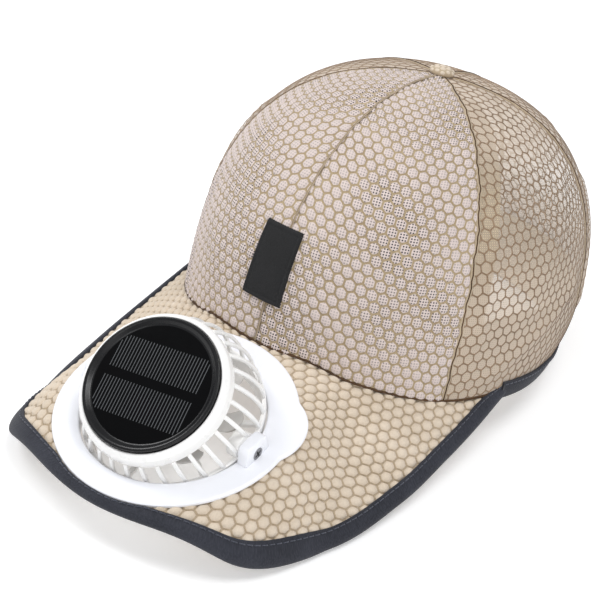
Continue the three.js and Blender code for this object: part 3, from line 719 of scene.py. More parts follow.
def fold_lift(phi, height):
    """How far soft folds push the cloth out, on both sides of the crown alike."""
    x = np.abs(phi) * crown_half_width
    lift = np.zeros_like(x)
    for phi_a, height_a, phi_b, height_b, width, rise in soft_folds:
        a = np.array([math.radians(phi_a) * crown_half_width, height_a])
        along = np.array([math.radians(phi_b) * crown_half_width, height_b]) - a
        share = ((x - a[0]) * along[0] + (height - a[1]) * along[1]) / (along @ along)
        near = np.clip(share, 0, 1)
        distance = np.hypot(x - a[0] - near * along[0], height - a[1] - near * along[1])
        lift += rise * np.exp(-((distance / width) ** 2))
    return lift


print("highest fold, mm:", max(fold[-1] for fold in soft_folds))

# %% [markdown]
# ## Bending the knit onto a gore
#
# A gore is widest at the rim and narrows to the button. The cloth isn't shrunk to fit it: the seams
# cut straight through the cells. So the lattice is kept at its own size, the cells outside the
# seams are dropped, and what is left is bent over the crown and pressed down into the seams.

# %%
seam_dip, seam_reach = 0.55, 1.6
fold_fade = 4.0


def panel_lattice(start, end, bottom, layers, weave):
    """The lattice on the part of the crown between two seams, given in degrees from the front."""
    phis = np.radians(np.linspace(start, end, 61))
    levels = np.linspace(0, top_level, 161)
    surface = crown_surface(phis[None], levels[:, None])
    steps = np.linalg.norm(np.diff(surface, axis=1), axis=2)
    across = np.concatenate([np.zeros((len(levels), 1)), np.cumsum(steps, axis=1)], axis=1)
    across -= across[:, -1:] / 2
    along = running_length(surface[:, len(phis) // 2])
    low_height = rim_height(phis) + bottom
    low_t = np.interp(level_at(low_height), levels, along)

    def locate(s, t):
        level = np.interp(t, along, levels)
        phi = np.empty_like(s)
        half = np.empty_like(s)
        keys, inverse = np.unique(np.round(t, 2), return_inverse=True)
        for k, value in enumerate(keys):
            mask = inverse.ravel() == k
            row = np.interp(value, along, np.arange(len(levels)))
            i = min(int(row), len(levels) - 2)
            line = lerp(across[i], across[i + 1], row - i)
            phi[mask] = np.interp(s[mask], line, phis)
            half[mask] = line[-1]
        return phi, level, half

    def keep(s, t):
        phi, level, half = locate(s, t)
        below = np.interp(phi, phis, low_t) - t
        under_button = t < along[-1] + cell_room * 0.3
        return (np.abs(s) < half + cell_room) & (below < cell_room) & under_button

    def bend(s, t, lift):
        phi, level, half = locate(s, t)
        low = np.interp(phi, phis, level_at(low_height))
        level = np.clip(level, low, top_level)
        to_seam = half - np.minimum(np.abs(s), half)
        dip = seam_dip * np.exp(-((to_seam / seam_reach) ** 2))
        height = crown_height * np.sin(level * np.pi / 2)
        fold = fold_lift(phi, height) * smoothstep(to_seam, 0.0, fold_fade)
        return crown_point(phi, level, lift - dip + fold)

    span = (across.min(), across.max())
    return honeycomb(span, (low_t.min(), along[-1]), layers, keep, bend, weave)


print("top of the panels, as a share of the way up:", round(top_level, 3))

# %% [markdown]
# ## Six crown panels
#
# The crown is cut as six gores that are sewn edge to edge. The two front ones are backed by a
# lining, which makes them opaque and pale, with round pads that stand up in the cells. The side and
# back ones are one sheer layer for air, with the net proud of a ground that lets light through.
# They could share one lattice, but the knit lies at another slant on each: the sewing turned it.

# %%
panel_layers_front = [(1.0, -0.1), (0.84, 0.12), (0.62, 0.5), (0.3, 0.62)]
panel_layers_side = [(1.0, 0.3), (0.87, 0.0), (0.5, 0.12)]
front_weave = np.array([(0.952, 0.047), (-0.187, 1.007)])
far_weave = np.eye(2)
side_weave = np.array([(0.988, -0.156), (0.156, 0.988)])
mirrored = np.array([(1, -1), (-1, 1)])
cloth_edge = 0.5
lined, sheer = [net_front, pad_front], [net_side, pad_side]
side_weaves = (side_weave, side_weave * mirrored)
panels = [
    ("front", 0.0, front_seam, panel_layers_front, lined, (front_weave, far_weave)),
    ("side", front_seam, back_seam, panel_layers_side, sheer, side_weaves),
    ("back", back_seam, 180.0, panel_layers_side, sheer, side_weaves),
]


for place_name, start, end, layers, materials, weaves in panels:
    halves = (("left", start, end, weaves[0]), ("right", -end, -start, weaves[1]))
    for side_name, a, b, weave in halves:
        name = f"{place_name}_panel_{side_name}"
        lattice = panel_lattice(a, b, cloth_edge, layers, weave)
        piece = make(name + "_cloth", [lattice], materials, nodes=[name])

# %% [markdown]
# ## Lining of the front
#
# A fine net lies behind each front panel and is sewn into the same seams. It could be a copy of
# the panel, but it carries no relief of its own, so a smooth thin grid with a pin-hole material is
# enough.

# %%
seam_room, lining_low, lining_wall = 0.2, 0.7, 0.5


def two_faced(rows, columns):
    """Faces of a thin closed sheet: a grid of points, the same grid behind it and the edge."""
    count = rows * columns
    faces = grid_faces(rows, columns)
    faces += [[v + count for v in face[::-1]] for face in grid_faces(rows, columns)]
    border = [*range(columns), *[r * columns + columns - 1 for r in range(1, rows)]]
    border += [(rows - 1) * columns + c for c in range(columns - 2, -1, -1)]
    border += [r * columns for r in range(rows - 2, 0, -1)]
    for k, v in enumerate(border):
        w = border[(k + 1) % len(border)]
        faces.append([w, v, v + count, w + count])
    return faces


def crown_sheet(start, end, low, depth, wall, columns, rows):
    """A thin sheet behind the crown between two angles, from low over the rim to the button."""
    phis = np.radians(np.linspace(start, end, columns))
    bottom = level_at(rim_height(phis) + low)
    levels = lerp(bottom[None], top_level, np.linspace(0, 1, rows)[:, None])
    spread = np.broadcast_to(phis, levels.shape)
    lifts = (-depth, -depth - wall)
    faces_of = [crown_point(spread, levels, np.full(levels.shape, lift)) for lift in lifts]
    points = placed(np.vstack([layer.reshape(-1, 3) for layer in faces_of]), hat_frame)
    reach = np.linalg.norm(np.diff(faces_of[0][rows // 3], axis=0), axis=1).sum()
    tall = np.linalg.norm(np.diff(faces_of[0][:, columns // 2], axis=0), axis=1).sum()
    u, v = np.meshgrid(np.linspace(0, reach, columns), np.linspace(0, tall, rows))
    uv = np.stack([u, v], -1).reshape(-1, 2) * MM
    return {"points": points, "faces": two_faced(rows, columns), "uv": np.vstack([uv, uv])}


near_middle, near_seam = seam_room, front_seam - seam_room
for side_name, a, b in (("left", near_middle, near_seam), ("right", -near_seam, -near_middle)):
    sheet = crown_sheet(a, b, lining_low, under_panel, lining_wall, 40, 60)
    name = f"front_lining_{side_name}"
    make(name + "_cloth", [sheet], [lining_cloth], nodes=[name])

# %% [markdown]
# ## Seams of the crown
#
# Where two gores meet, the cut edges are turned in and pressed, which leaves a narrow groove in shade with
# a fold on each side. A thin dark brown tube in the groove paints that shade. A tape is sewn behind the
# front-to-side seams, where it shows through the sheer panel. A crease in the panels would be too sharp: a
# small section carried up the seam keeps the folds soft, and it wanders a little, as a seam guided by hand
# does.

# %%
seam_rows, seam_wander, groove_lift = 120, 0.55, 0.2


def meridian(angle, low, count, lift, offset=0.0):
    """A line up the crown at an angle from the front, moved sideways by offset in millimetres."""
    phi = np.full(count, math.radians(angle))
    bottom = float(level_at(rim_height(np.array([math.radians(angle)])) + low)[0])
    level = np.linspace(bottom, top_level, count)
    reach = np.hypot(*crown_surface(phi, level)[:, :2].T)
    phi = phi + offset / reach
    path = crown_point(phi, level, np.full(count, lift))
    up = crown_normal(phi, level)
    side = unit(np.cross(np.gradient(path, axis=0), up))
    return path, side, up


right_fold = [(0.0, 0.05), (0.4, 0.3), (0.85, 0.05), (1.0, -0.5)]
fold_section = [*[(-x, z) for x, z in right_fold[:0:-1]], *right_fold]
for name, angle, width, groove_radius, lift in (
    ("front", 0, 0.42, 0.04, 0.3),
    ("near_left", front_seam, 1.1, 0.3, 0.0),
    ("near_right", -front_seam, 1.1, 0.3, 0.0),
    ("back_left", back_seam, 0.9, 0.42, 0.0),
    ("back_right", -back_seam, 0.9, 0.42, 0.0),
    ("rear", 180, 0.9, 0.42, 0.0),
):
    path, side, up = meridian(angle, 1.0, seam_rows, lift)
    run = np.linspace(0, 1, seam_rows)
    waves = np.sin(run * 47) * 0.5 + np.sin(run * 113 + 1) * 0.3 + np.sin(run * 211 + 2) * 0.2
    path = path + side * (seam_wander * width * waves)[:, None]
    fold = sweep(path, side, up, [(x * width, z) for x, z in fold_section], hat_frame)
    # A thin dark tube in the groove carries its painted shade.
    groove = sweep(path + up * groove_lift, side, up, circle(groove_radius, 6), hat_frame)
    groove["numbers"] = [1] * len(groove["faces"])
    make(f"seam_{name}", [fold, groove], [net_seam, seam_groove_shade])

tape_half_width, tape_half_wall, tape_offset, tape_low = 5.4, 0.4, 5.9, 2.0
tape_depth = under_panel + 0.6
tape_rows, tape_end = 80, 72
tape_section = rounded(rectangle(-tape_half_width, -tape_half_wall, tape_half_width, tape_half_wall), 0.3)
for side_name, sign in (("left", 1), ("right", -1)):
    whole = meridian(sign * front_seam, tape_low, tape_rows, -tape_depth, offset=sign * tape_offset)
    path, side, up = (line[:tape_end] for line in whole)
    tape = sweep(path, side, up, tape_section, hat_frame)
    name = f"seam_tape_{side_name}"
    make(name + "_woven", [tape], [tape_cloth], nodes=[name])

# %% [markdown]
# ## Button
#
# The button is a small shell covered with the same knit, drawn tight, so its cells are smaller. The
# shell is a turned profile, and the lattice is laid over its dome: a texture alone would leave its
# edge as smooth as a pearl's.

# %%
button_cells = 0.75
button_edge = 9
dome_foot, dome_size = 0.5, np.array([5.7, 5.7, 3.2])
lean_reach, widest_lean = 6.6, 1.5
button_profile = [(0, 0.3), (5.4, 0.3), (5.7, 1.5), (4.9, 2.7), (3.0, 3.4), (0, 3.7)]
button = lathe(rounded(button_profile, 0.8), hat_frame @ shift(0, 0, crown_height), sides=48)


def on_button(s, t, lift):
    """The knit drawn down over the dome of the button."""
    lean = np.minimum(np.hypot(s, t) / lean_reach, widest_lean)
    out = unit(np.stack([s + 1e-9, t, 0 * s], -1)) * np.sin(lean)[:, None]
    direction = out + np.stack([0 * s, 0 * s, np.cos(lean)], -1)
    foot = np.array([0, 0, crown_height + dome_foot])
    return foot + direction * dome_size + direction * lift[:, None]


button_layers = [(1.0, 0.0), (0.86, 0.1), (0.6, 0.42), (0.3, 0.52)]
button_span = (-button_edge, button_edge)


def keep_button(s, t):
    return np.hypot(s, t) < button_edge


button_weave = np.eye(2) * button_cells
knit = honeycomb(button_span, button_span, button_layers, keep_button, on_button, button_weave)
make("crown_button_cloth", [button, knit], [net_seam, brim_pad], nodes=["crown_button"])

# %% [markdown]
# ## Sweatband
#
# The sweatband is a soft terry strip inside the rim. A ribbon with a Solidify modifier would do,
# but its section is carried round the crown's own surface, so it follows the wall at every angle.

# %%
band_low, band_high, band_wall, band_sides = 1.0, 34.0, 1.0, 180
rim_round = 570
phis = np.arange(band_sides) * 2 * math.pi / band_sides
band_section = rounded(rectangle(0, band_low, band_wall, band_high), 0.45)
rings = []
for depth, height in band_section:
    level = level_at(rim_height(phis) + height)
    rings.append(crown_point(phis, level, np.full_like(phis, -under_lining - depth)))
band_points = np.stack(rings, axis=1).reshape(-1, 3)
band_uv = cloth_uv(np.linspace(0, rim_round, band_sides), running_length(band_section))
band_faces = grid_faces(band_sides, len(band_section), close_rows=True, close_columns=True)
band = {"points": placed(band_points, hat_frame), "faces": band_faces, "uv": band_uv}
make("sweatband_terry", [band], [band_cloth], nodes=["sweatband"])

# %% [markdown]
# ## Patch
#
# The patch is woven, folded under at its edge and sewn on, and here it is left bare. It could be a
# flat card shrink-wrapped to the cloth. A height map over a small grid gives it the thick folded
# hem and the groove that the stitches pull in just inside it.

# %%
patch_width, patch_height, patch_bottom, patch_aside = 18.5, 30.0, 31.0, 2.1
patch_foot, patch_wall, edge_round = 0.55, 0.85, 0.5
hem_place, hem_width, hem_rise = 0.9, 0.5, 0.22
groove_place, groove_width, groove_fall = 1.9, 0.3, 0.18
thread_width = 1.7
columns, rows = 40, 60
u, v = np.meshgrid(np.linspace(-1, 1, columns), np.linspace(-1, 1, rows))
to_edge = np.minimum((1 - np.abs(u)) * patch_width / 2, (1 - np.abs(v)) * patch_height / 2)
hem = np.exp(-(((to_edge - hem_place) / hem_width) ** 2)) * hem_rise
groove = groove_fall * np.exp(-(((to_edge - groove_place) / groove_width) ** 2))
height_map = patch_foot + patch_wall * np.sqrt(np.clip(to_edge / edge_round, 0, 1)) + hem - groove
level = level_at(patch_bottom + (v + 1) / 2 * patch_height)
phi = (u * patch_width / 2 - patch_aside) / crown_half_width
top = crown_point(phi, level, height_map)
patch_uv = np.stack([u * patch_width / 2, v * patch_height / 2], -1).reshape(-1, 2) * MM
patch_faces = grid_faces(rows, columns)
edge_of_face = [to_edge.ravel()[face].mean() for face in patch_faces]
patch_numbers = [1 if distance < thread_width else 0 for distance in edge_of_face]
patch_shape = {"points": placed(top.reshape(-1, 3), hat_frame), "faces": patch_faces,
               "numbers": patch_numbers, "uv": patch_uv}
make("front_patch_woven", [patch_shape], [patch_cloth, patch_edge], nodes=["front_patch"])

# %% [markdown]
# ## Brim
#
# The brim is a thin board padded with foam and covered with the same knit on both faces. Over the
# foam each cell stands up as a round pad. Seen from above, an even lattice would crowd where the
# board bends down, so it is laid out along the bent surface and the cells keep their size down the
# sides. Its rows drape a little backward there, as the cloth was pulled on.

# %%
hole_radius = 36.5
brim_drape, drape_start = 0.38, 12.0
plan_side, plan_front, plan_rear = 120, 210, 10
plan_x = np.arange(-plan_side, plan_side + 1.0)
plan_y = np.arange(-plan_front, plan_rear + 1.0)
solve_rounds, solve_step = 30, 0.6
crown_mean = 90
edge_room = 0.4
plan_height = brim_height(plan_x[None], plan_y[:, None])


def run_along(axis, start):
    """Lengths over the brim's face along the plan's rows or columns, counted from a start."""
    steps = np.sqrt(1 + np.diff(plan_height, axis=axis) ** 2)
    run = np.cumsum(np.insert(steps, 0, 0, axis=axis), axis=axis)
    return run - np.take(run, [start], axis=axis)


run_x = run_along(1, plan_side)
run_y = run_along(0, int(plan_front - crown_reach))


def sample(table, x, y):
    """A table over the plan, read between its points."""
    i = np.clip(y + plan_front, 0, len(plan_y) - 1.001)
    j = np.clip(x + plan_side, 0, len(plan_x) - 1.001)
    a, b = i.astype(int), j.astype(int)
    i, j = i - a, j - b
    low = lerp(table[a, b], table[a, b + 1], j)
    return lerp(low, lerp(table[a + 1, b], table[a + 1, b + 1], j), i)


def on_plan(s, t):
    """The plan point of a place s, t on the cloth, whose rows drape backward at both sides."""
    t = t + brim_drape * (np.hypot(s, drape_start) - drape_start)
    x, y = s * 0.9, t * slope_cos - crown_reach
    for _ in range(solve_rounds):
        x = x + solve_step * (s - sample(run_x, x, y))
        y = y + solve_step * (t - sample(run_y, x, y))
    return x, y


def brim_margins(x, y):
    """Distances in plan inside the outer edge, outside the crown and outside the fan's hole."""
    angle = np.arctan2(-(y + outline_centre), x)
    order = np.argsort(edge_angle)
    reach = np.interp(angle, edge_angle[order], edge_reach[order])
    inside = reach - np.hypot(x, y + outline_centre)
    crown = 1 - under_lining / crown_half_width
    share = np.hypot(x / (crown_half_width * crown), y / (crown_reach * crown))
    outside = (share - 1) * crown_mean
    hole = np.hypot(x, (y - fan_y) / slope_cos) - hole_radius
    return inside, outside, hole


def keep_brim(s, t):
    x, y = on_plan(s, t)
    near = np.min(brim_margins(x, y), axis=0)
    return (near > -cell_room) & (y < -outline_centre + 4)


def settle(x, y):
    """Moves plan points that lie off the board back to its edges."""
    inside, outside, _ = brim_margins(x, y)
    reach = np.hypot(x, y + outline_centre)
    pulled = (reach + inside - edge_room) / np.maximum(reach, 1e-6)
    scale = np.where(inside < edge_room, pulled, 1)
    x, y = x * scale, (y + outline_centre) * scale - outline_centre
    scale = np.where(outside < 0, 1 / (1 + outside / crown_mean), 1)
    x, y = x * scale, y * scale
    radius = np.hypot(x, (y - fan_y) / slope_cos)
    scale = np.where(radius < hole_radius, hole_radius / np.maximum(radius, 1e-6), 1)
    return x * scale, (y - fan_y) * scale + fan_y


brim_weave = [(1.03, 0.0), (0.0, 1.08)]
cloth_across, cloth_along = (-135, 135), (-130, 100)
under_tape, clear_of_tape = 1.0, 4.5


def brim_sheet(layers, base, sign):
    """The knit on one face of the board, pressed flat under the tape. sign is -1 for the lower one."""

    def bend(s, t, lift):
        x, y = settle(*on_plan(s, t))
        inside = brim_margins(x, y)[0]
        return brim_point(x, y, base + sign * lift * smoothstep(inside, under_tape, clear_of_tape))

    shape = honeycomb(cloth_across, cloth_along, layers, keep_brim, bend, brim_weave)
    if sign < 0:
        shape["faces"] = [face[::-1] for face in shape["faces"]]
    return shape


brim_layers = [(1.0, -0.65), (0.85, -0.2), (0.64, 0.42), (0.33, 0.76)]
under_layers = [(1.0, -0.2), (0.84, 0.0), (0.5, 0.15)]
upper = brim_sheet(brim_layers, 0.0, 1)
under = brim_sheet(under_layers, -brim_thickness, -1)
make("brim_cloth", [upper, under], [brim_net, brim_pad], nodes=["brim"])

# %% [markdown]
# ## Binding of the brim
#
# A woven tape is folded over the brim's edge and sewn through with one line of stitches close to
# its inner edge. The fold is round, not square, because the board fills it. A bevelled curve has
# one section all along, but this tape narrows where it passes the fan's plate, so each place on the
# edge gets a section of its own.

# %%
edge_fall, edge_drop, edge_grip = 0.3, 0.35, 0.1
tape_end_length, tape_end_bend = 7, 0.014


def folded_tape(half, width, wall):
    """Section of a tape folded round an edge: depth inward from the fold, and height."""
    outer = half + wall
    outer_turn, inner_turn = np.radians(np.linspace(0, 180, 13)), np.radians(np.linspace(0, 180, 9))
    fold = [(outer * (1 - math.sin(a)), -outer * math.cos(a)) for a in outer_turn]
    inside = [(half * (1 - math.sin(a)) + wall, half * math.cos(a)) for a in inner_turn]
    section = [(width - edge_fall, -outer), *fold, (width - edge_fall, outer)]
    section += [(width, outer - edge_drop), (width, half - edge_grip)]
    section += [*inside, (width, -half + edge_grip), (width, -outer + edge_drop)]
    return section


def brim_edge_frames(count):
    """Edge points in plan, with the directions from them into the brim.

    The tape runs on past both ends of the brim and bends in, to end under the rim's own tape.
    """
    line = outline_points(count)
    reach = np.linspace(1, tape_end_length, 6)[:, None]
    bend_in = np.array([tape_end_bend, 0.0]) * reach**2
    start = line[0] + unit(line[0] - line[1]) * reach + bend_in
    end = line[-1] + unit(line[-1] - line[-2]) * reach - bend_in
    line = np.vstack([start[::-1], line, end])
    tangent = unit(np.gradient(line, axis=0))
    return line, np.stack([-tangent[:, 1], tangent[:, 0]], -1)


stitch_pitch, stitch_length, thread_radius = 3.0, 2.3, 0.22
stitch_inset, stitch_sink = 0.9, 0.12


def stitch(middle, side, up):
    """One stitch: a thread that rises out of the cloth and goes back into it."""
    along = np.cross(up, side)
    places = np.linspace(-1, 1, 5)[:, None]
    rise = 0.45 * thread_radius * (1 - 1.6 * places * places)
    path = middle + along * (stitch_length / 2) * places + up * rise
    sides, ups = np.tile(side, (len(path), 1)), np.tile(up, (len(path), 1))
    return sweep(path, sides, ups, circle(thread_radius, 6), hat_frame)


def stitches(name, line, side, up):
    """A row of navy stitches on a line of points, with the sideways and upward directions there."""
    run = running_length(line)

    def at(place, table):
        return np.array([np.interp(place, run, table[:, k]) for k in range(3)])

    places = np.arange(stitch_pitch / 2, run[-1], stitch_pitch)
    shapes = [stitch(at(place, line), unit(at(place, side)), unit(at(place, up))) for place in places]
    make(name, shapes, [navy_thread])


def tape_shape(line, sections, point):
    """A folded tape along a line, from one section at each place and a rule that places them."""
    rows, columns = sections.shape[:2]
    uv = cloth_uv(running_length(line), running_length(sections[0]))
    faces = grid_faces(rows, columns, close_columns=True)
    faces += [list(range(columns)), [(rows - 1) * columns + k for k in range(columns)][::-1]]
    points = point(sections[..., 0], sections[..., 1]).reshape(-1, 3)
    return {"points": placed(points, hat_frame), "faces": faces, "uv": uv}


def brim_tape_point(depth, height):
    plan = line[:, None] + inward[:, None] * (depth - tape_wall)[..., None]
    return brim_point(plan[..., 0], plan[..., 1], height - brim_thickness / 2)


line, inward = brim_edge_frames(241)
room = np.hypot(line[:, 0], (line[:, 1] - fan_y) / slope_cos - plate_shift) - plate_radius
from_end = np.minimum(np.arange(len(line)), np.arange(len(line))[::-1])
widest = lerp(brim_tape, wide_tape, smoothstep(from_end, 2, 14))
widths = np.clip(room + tape_wall - 0.5, brim_tape, widest)
half = brim_thickness / 2 + tape_slack - edge_grip
sections = np.array([folded_tape(half, width, tape_wall - edge_grip) for width in widths])
binding = tape_shape(line, sections, brim_tape_point)
make("brim_binding_tape", [binding], [navy_tape], nodes=["brim_binding"])
plan = line + inward * (widths - tape_wall - stitch_inset)[:, None]
stitch_lift = tape_slack + tape_wall - stitch_sink
stitch_line = brim_point(plan[:, 0], plan[:, 1], np.full(len(plan), stitch_lift))
normals = brim_normal(plan[:, 0], plan[:, 1])
sides = unit(np.cross(np.gradient(stitch_line, axis=0), normals))
stitches("brim_binding_stitches", stitch_line, sides, normals)

# %% [markdown]
# ## Binding of the rim
#
# The same tape closes the lower edge of the sheer panels, from one end of the brim round the back
# to the other. Beside the brim it hangs a few millimetres lower and shows wider than at the back,
# so it has a section for each place too. Its ends overlap the brim's own binding.

# %%
back_width, side_width, most_sag = 3.4, rim_tape + 0.8, 3.8


def beside_brim(angles, none, full):
    """1 beside the brim and 0 at the back, between two angles from the front in degrees."""
    return smoothstep(np.cos(angles), math.cos(math.radians(none)), math.cos(math.radians(full)))


angles = np.radians(np.linspace(brim_end + 0.2, 360 - brim_end - 0.2, 221))
sag = most_sag * beside_brim(angles, 125, 85)
rim_widths = lerp(back_width, side_width, beside_brim(angles, 112, 92))


def rim_tape_point(height, depth):
    over_floor = rim_height(angles)[:, None] + height - sag[:, None]
    phi = np.broadcast_to(angles[:, None], height.shape)
    points = crown_point(phi, level_at(over_floor), -depth - panel_wall / 2)
    points[..., 2] += np.minimum(over_floor, 0)
    return points


half = panel_wall / 2 + tape_slack - edge_grip
sections = np.array([folded_tape(half, width, tape_wall - edge_grip) for width in rim_widths])
rim_line = crown_point(angles, level_at(rim_height(angles)), np.zeros_like(angles))
rim = tape_shape(rim_line, sections, rim_tape_point)
make("rim_binding_tape", [rim], [navy_tape], nodes=["rim_binding"])
level = level_at(rim_height(angles) + rim_widths - stitch_inset - sag)
rim_line = crown_point(angles, level, np.full_like(angles, stitch_lift))
rim_up = crown_normal(angles, level)
rim_side = unit(np.cross(np.gradient(rim_line, axis=0), rim_up))
stitches("rim_binding_stitches", rim_line, rim_side, rim_up)

# %% [markdown]
# ## Seam between crown and brim
#
# The panels are sewn down onto the brim with their edge turned under, which leaves a dark line of shade in
# the corner. The shadow alone comes out pale under these lamps, so a thin dark cord lies in the corner as
# painted shade.

# %%
seam_height, seam_lift, seam_radius = 0.8, 0.1, 0.55
angles = np.radians(np.linspace(-brim_end, brim_end, 161))
level = level_at(rim_height(angles) + seam_height)
path = crown_point(angles, level, np.full_like(angles, seam_lift))
up = crown_normal(angles, level)
side = unit(np.cross(np.gradient(path, axis=0), up))
# The cord is painted shade for the corner.
seam = sweep(path, side, up, circle(seam_radius, 8), hat_frame)
make("junction_seam_shade", [seam], [seam_groove_shade])

# %% [markdown]
# ## Fan plate
#
# The plate is one white moulding: a thin flange on the cloth, with a lobe beside one pivot, a
# round-edged opening for the ball of the cage, a collar through the brim and two upright ears. Cut
# from discs with booleans it would need its edges repaired. Here each ring of points follows the
# outline at its own height, so the edges come out round by themselves.

# %%
opening, collar_wall, collar_depth = 34.7, 1.5, 5.0
plate_edge, plate_crest, crest_width = 1.3, 2.1, 4
plate_sides, plate_foot = 240, 0.1
lobe_radius, lobe_reach, lobe_angle = 19.4, 50.4, 25.0
lobe_sharpness = 6.0
ear_thickness, ear_width, ear_foot, ear_low, ear_round = 4.6, 11.0, 1.5, 0.5, 2.6
ear_inner = opening + 0.05
ear_outer = ear_inner + ear_thickness


def plate_outline(theta):
    """Distance from the fan's centre to the plate's edge, with the lobe blended in."""
    to_side, to_back = plate_shift * np.cos(theta), plate_shift * np.sin(theta)
    circle_reach = to_back + np.sqrt(plate_radius**2 - to_side**2)
    away = lobe_reach - lobe_radius
    toward = away * np.cos(theta - math.radians(lobe_angle))
    inside = lobe_radius**2 - away**2 + toward**2
    lobe = np.where(inside > 0, toward + np.sqrt(np.maximum(inside, 0)), 0)
    top = np.maximum(circle_reach, lobe)
    lower = np.exp(lobe_sharpness * (circle_reach - top)) + np.exp(lobe_sharpness * (lobe - top))
    return top + np.log(lower) / lobe_sharpness


thetas = np.arange(plate_sides) * 2 * math.pi / plate_sides
outer_reach = plate_outline(thetas)
round_reach = np.full_like(thetas, opening)
crest_reach = round_reach + crest_width
ring_rows = [
    (round_reach, -collar_depth),
    (round_reach, plate_crest - 0.9),
    (round_reach + 0.15, plate_crest - 0.4),
    (round_reach + 0.5, plate_crest - 0.08),
    (round_reach + 1.1, plate_crest),
    (crest_reach, plate_crest),
    (lerp(crest_reach, outer_reach, 0.5), lerp(plate_crest, plate_edge, 0.45)),
    (outer_reach - 1.2, plate_edge + 0.06),
    (outer_reach - 0.5, plate_edge - 0.06),
    (outer_reach - 0.12, plate_edge - 0.35),
    (outer_reach, plate_edge - 0.8),
    (outer_reach - 0.05, plate_foot),
    (round_reach + collar_wall, plate_foot),
    (round_reach + collar_wall, -collar_depth),
]
reaches, heights = np.array([row[0] for row in ring_rows]).T, [row[1] for row in ring_rows]
plate_points = np.stack([
    reaches * np.cos(thetas)[:, None],
    reaches * np.sin(thetas)[:, None],
    np.broadcast_to(heights, reaches.shape),
], -1)
plate_faces = grid_faces(plate_sides, len(ring_rows), close_rows=True, close_columns=True)
plate = {"points": placed(plate_points.reshape(-1, 3), plate_frame), "faces": plate_faces}


def ear_outline():
    """Upright outline of a square-shouldered ear whose feet spread."""
    half_width, half_foot = ear_width / 2, ear_width / 2 + ear_foot
    top = pivot_height + half_width
    corners = [(-half_foot, ear_low), (half_foot, ear_low), (half_width, top), (-half_width, top)]
    return rounded(corners, ear_round, 5)


def soft_block(outline, start, end, matrix, edge):
    """An outline of (y, z) pairs drawn out along X, with rounded rims."""
    outline = np.array(outline)
    centre = outline.mean(axis=0)
    reach = outline - centre
    size = np.linalg.norm(reach, axis=1, keepdims=True)
    rings = []
    near = 0.3 * edge
    stations = [(start, edge), (start + near, near), (start + edge, 0)]
    stations += [(end - edge, 0), (end - near, near), (end, edge)]
    for x, inset in stations:
        flat_ring = centre + reach * (1 - inset / size)
        rings.append(np.column_stack([np.full(len(outline), x), flat_ring]))
    rows, columns = len(rings), len(outline)
    faces = grid_faces(rows, columns, close_columns=True)
    faces += [list(range(columns))[::-1], [(rows - 1) * columns + k for k in range(columns)]]
    return {"points": placed(np.vstack(rings), matrix), "faces": faces}


screw_seat = rounded(rectangle(2.9, 0, 3.7, 0.5), 0.2)
ears = []
for flip in (0, 180):
    ear_frame = plate_frame @ turn_z(flip)
    ears.append(soft_block(ear_outline(), ear_inner, ear_outer, ear_frame, edge=0.8))
    seat_frame = ear_frame @ shift(ear_outer - 0.3, 0, pivot_height) @ turn_y(90)
    ears.append(lathe(screw_seat, seat_frame, sides=32))
plate_shapes = [plate, *ears]
make("fan_plate_moulding", plate_shapes, [white_plastic], nodes=["fan_plate"], sharp=35)

# %% [markdown]
# ## Retaining ring
#
# A plain ring under the brim clamps the plate's collar. Nothing shows of it from above, so a turned
# profile with softened corners is all that it needs.

# %%
retainer_inner, retainer_outer, retainer_low, retainer_high = 36.5, 39.1, -3.8, -2.3
retainer_section = rectangle(retainer_inner, retainer_low, retainer_outer, retainer_high)
retainer = lathe(rounded(retainer_section, 0.3), plate_frame)
make("fan_retainer_ring", [retainer], [white_plastic], nodes=["fan_retainer"], sharp=35)

# %% [markdown]
# ## Pivot screws
#
# Two countersunk screws with a cross recess hold the cage between the ears and let it lean. The recess
# could be cut into the head, but at this size two dark bars on it, painted with the recess's shade, look
# the same.

# %%
ball_clearance, screw_grip = 0.4, 4
screw_tip = opening - ball_clearance - screw_grip
screw_radius, head_radius = 1.5, 2.5
head_foot, head_edge, head_top = ear_outer - 1.4, ear_outer - 0.9, ear_outer + 0.12
screw_profile = [(0, screw_tip), (screw_radius, screw_tip), (screw_radius, head_foot)]
screw_profile += [(head_radius, head_edge), (head_radius, head_top), (0, head_top)]
recess_section = rectangle(-1.6, -0.38, 1.6, 0.38)
recess_low, recess_high = ear_outer - 0.3, ear_outer + 0.15
for name, flip in (("left", 0), ("right", 180)):
    axis_frame = plate_frame @ turn_z(flip) @ shift(0, 0, pivot_height) @ turn_y(90)
    shapes = [lathe(rounded(screw_profile, 0.25), axis_frame, sides=32)]
    # Two dark bars painted with the shade of the cross recess.
    for turn in (20, 110):
        bar_frame = axis_frame @ turn_z(turn) @ turn_y(-90) @ turn_x(90)
        bar = soft_block(recess_section, recess_low, recess_high, bar_frame, edge=0.05)
        bar["numbers"] = [1] * len(bar["faces"])
        shapes.append(bar)
    make(f"pivot_screw_{name}_steel", shapes, [screw_steel, recess_painted_shade],
         nodes=[f"pivot_screw_{name}"], sharp=35)

# %% [markdown]
# ## Cage
#
# The cage is part of a ball, so that it can lean without opening a gap. Thirty thin ribs run from a ring at
# the bottom to the drum that carries the solar disc, and a guard of six spokes round the motor's seat
# crosses the side that faces the wearer. The drum leans on the ring, so no rib is like the next. One rib
# copied round by an array would miss the drum, and each is drawn as a great circle of its own.

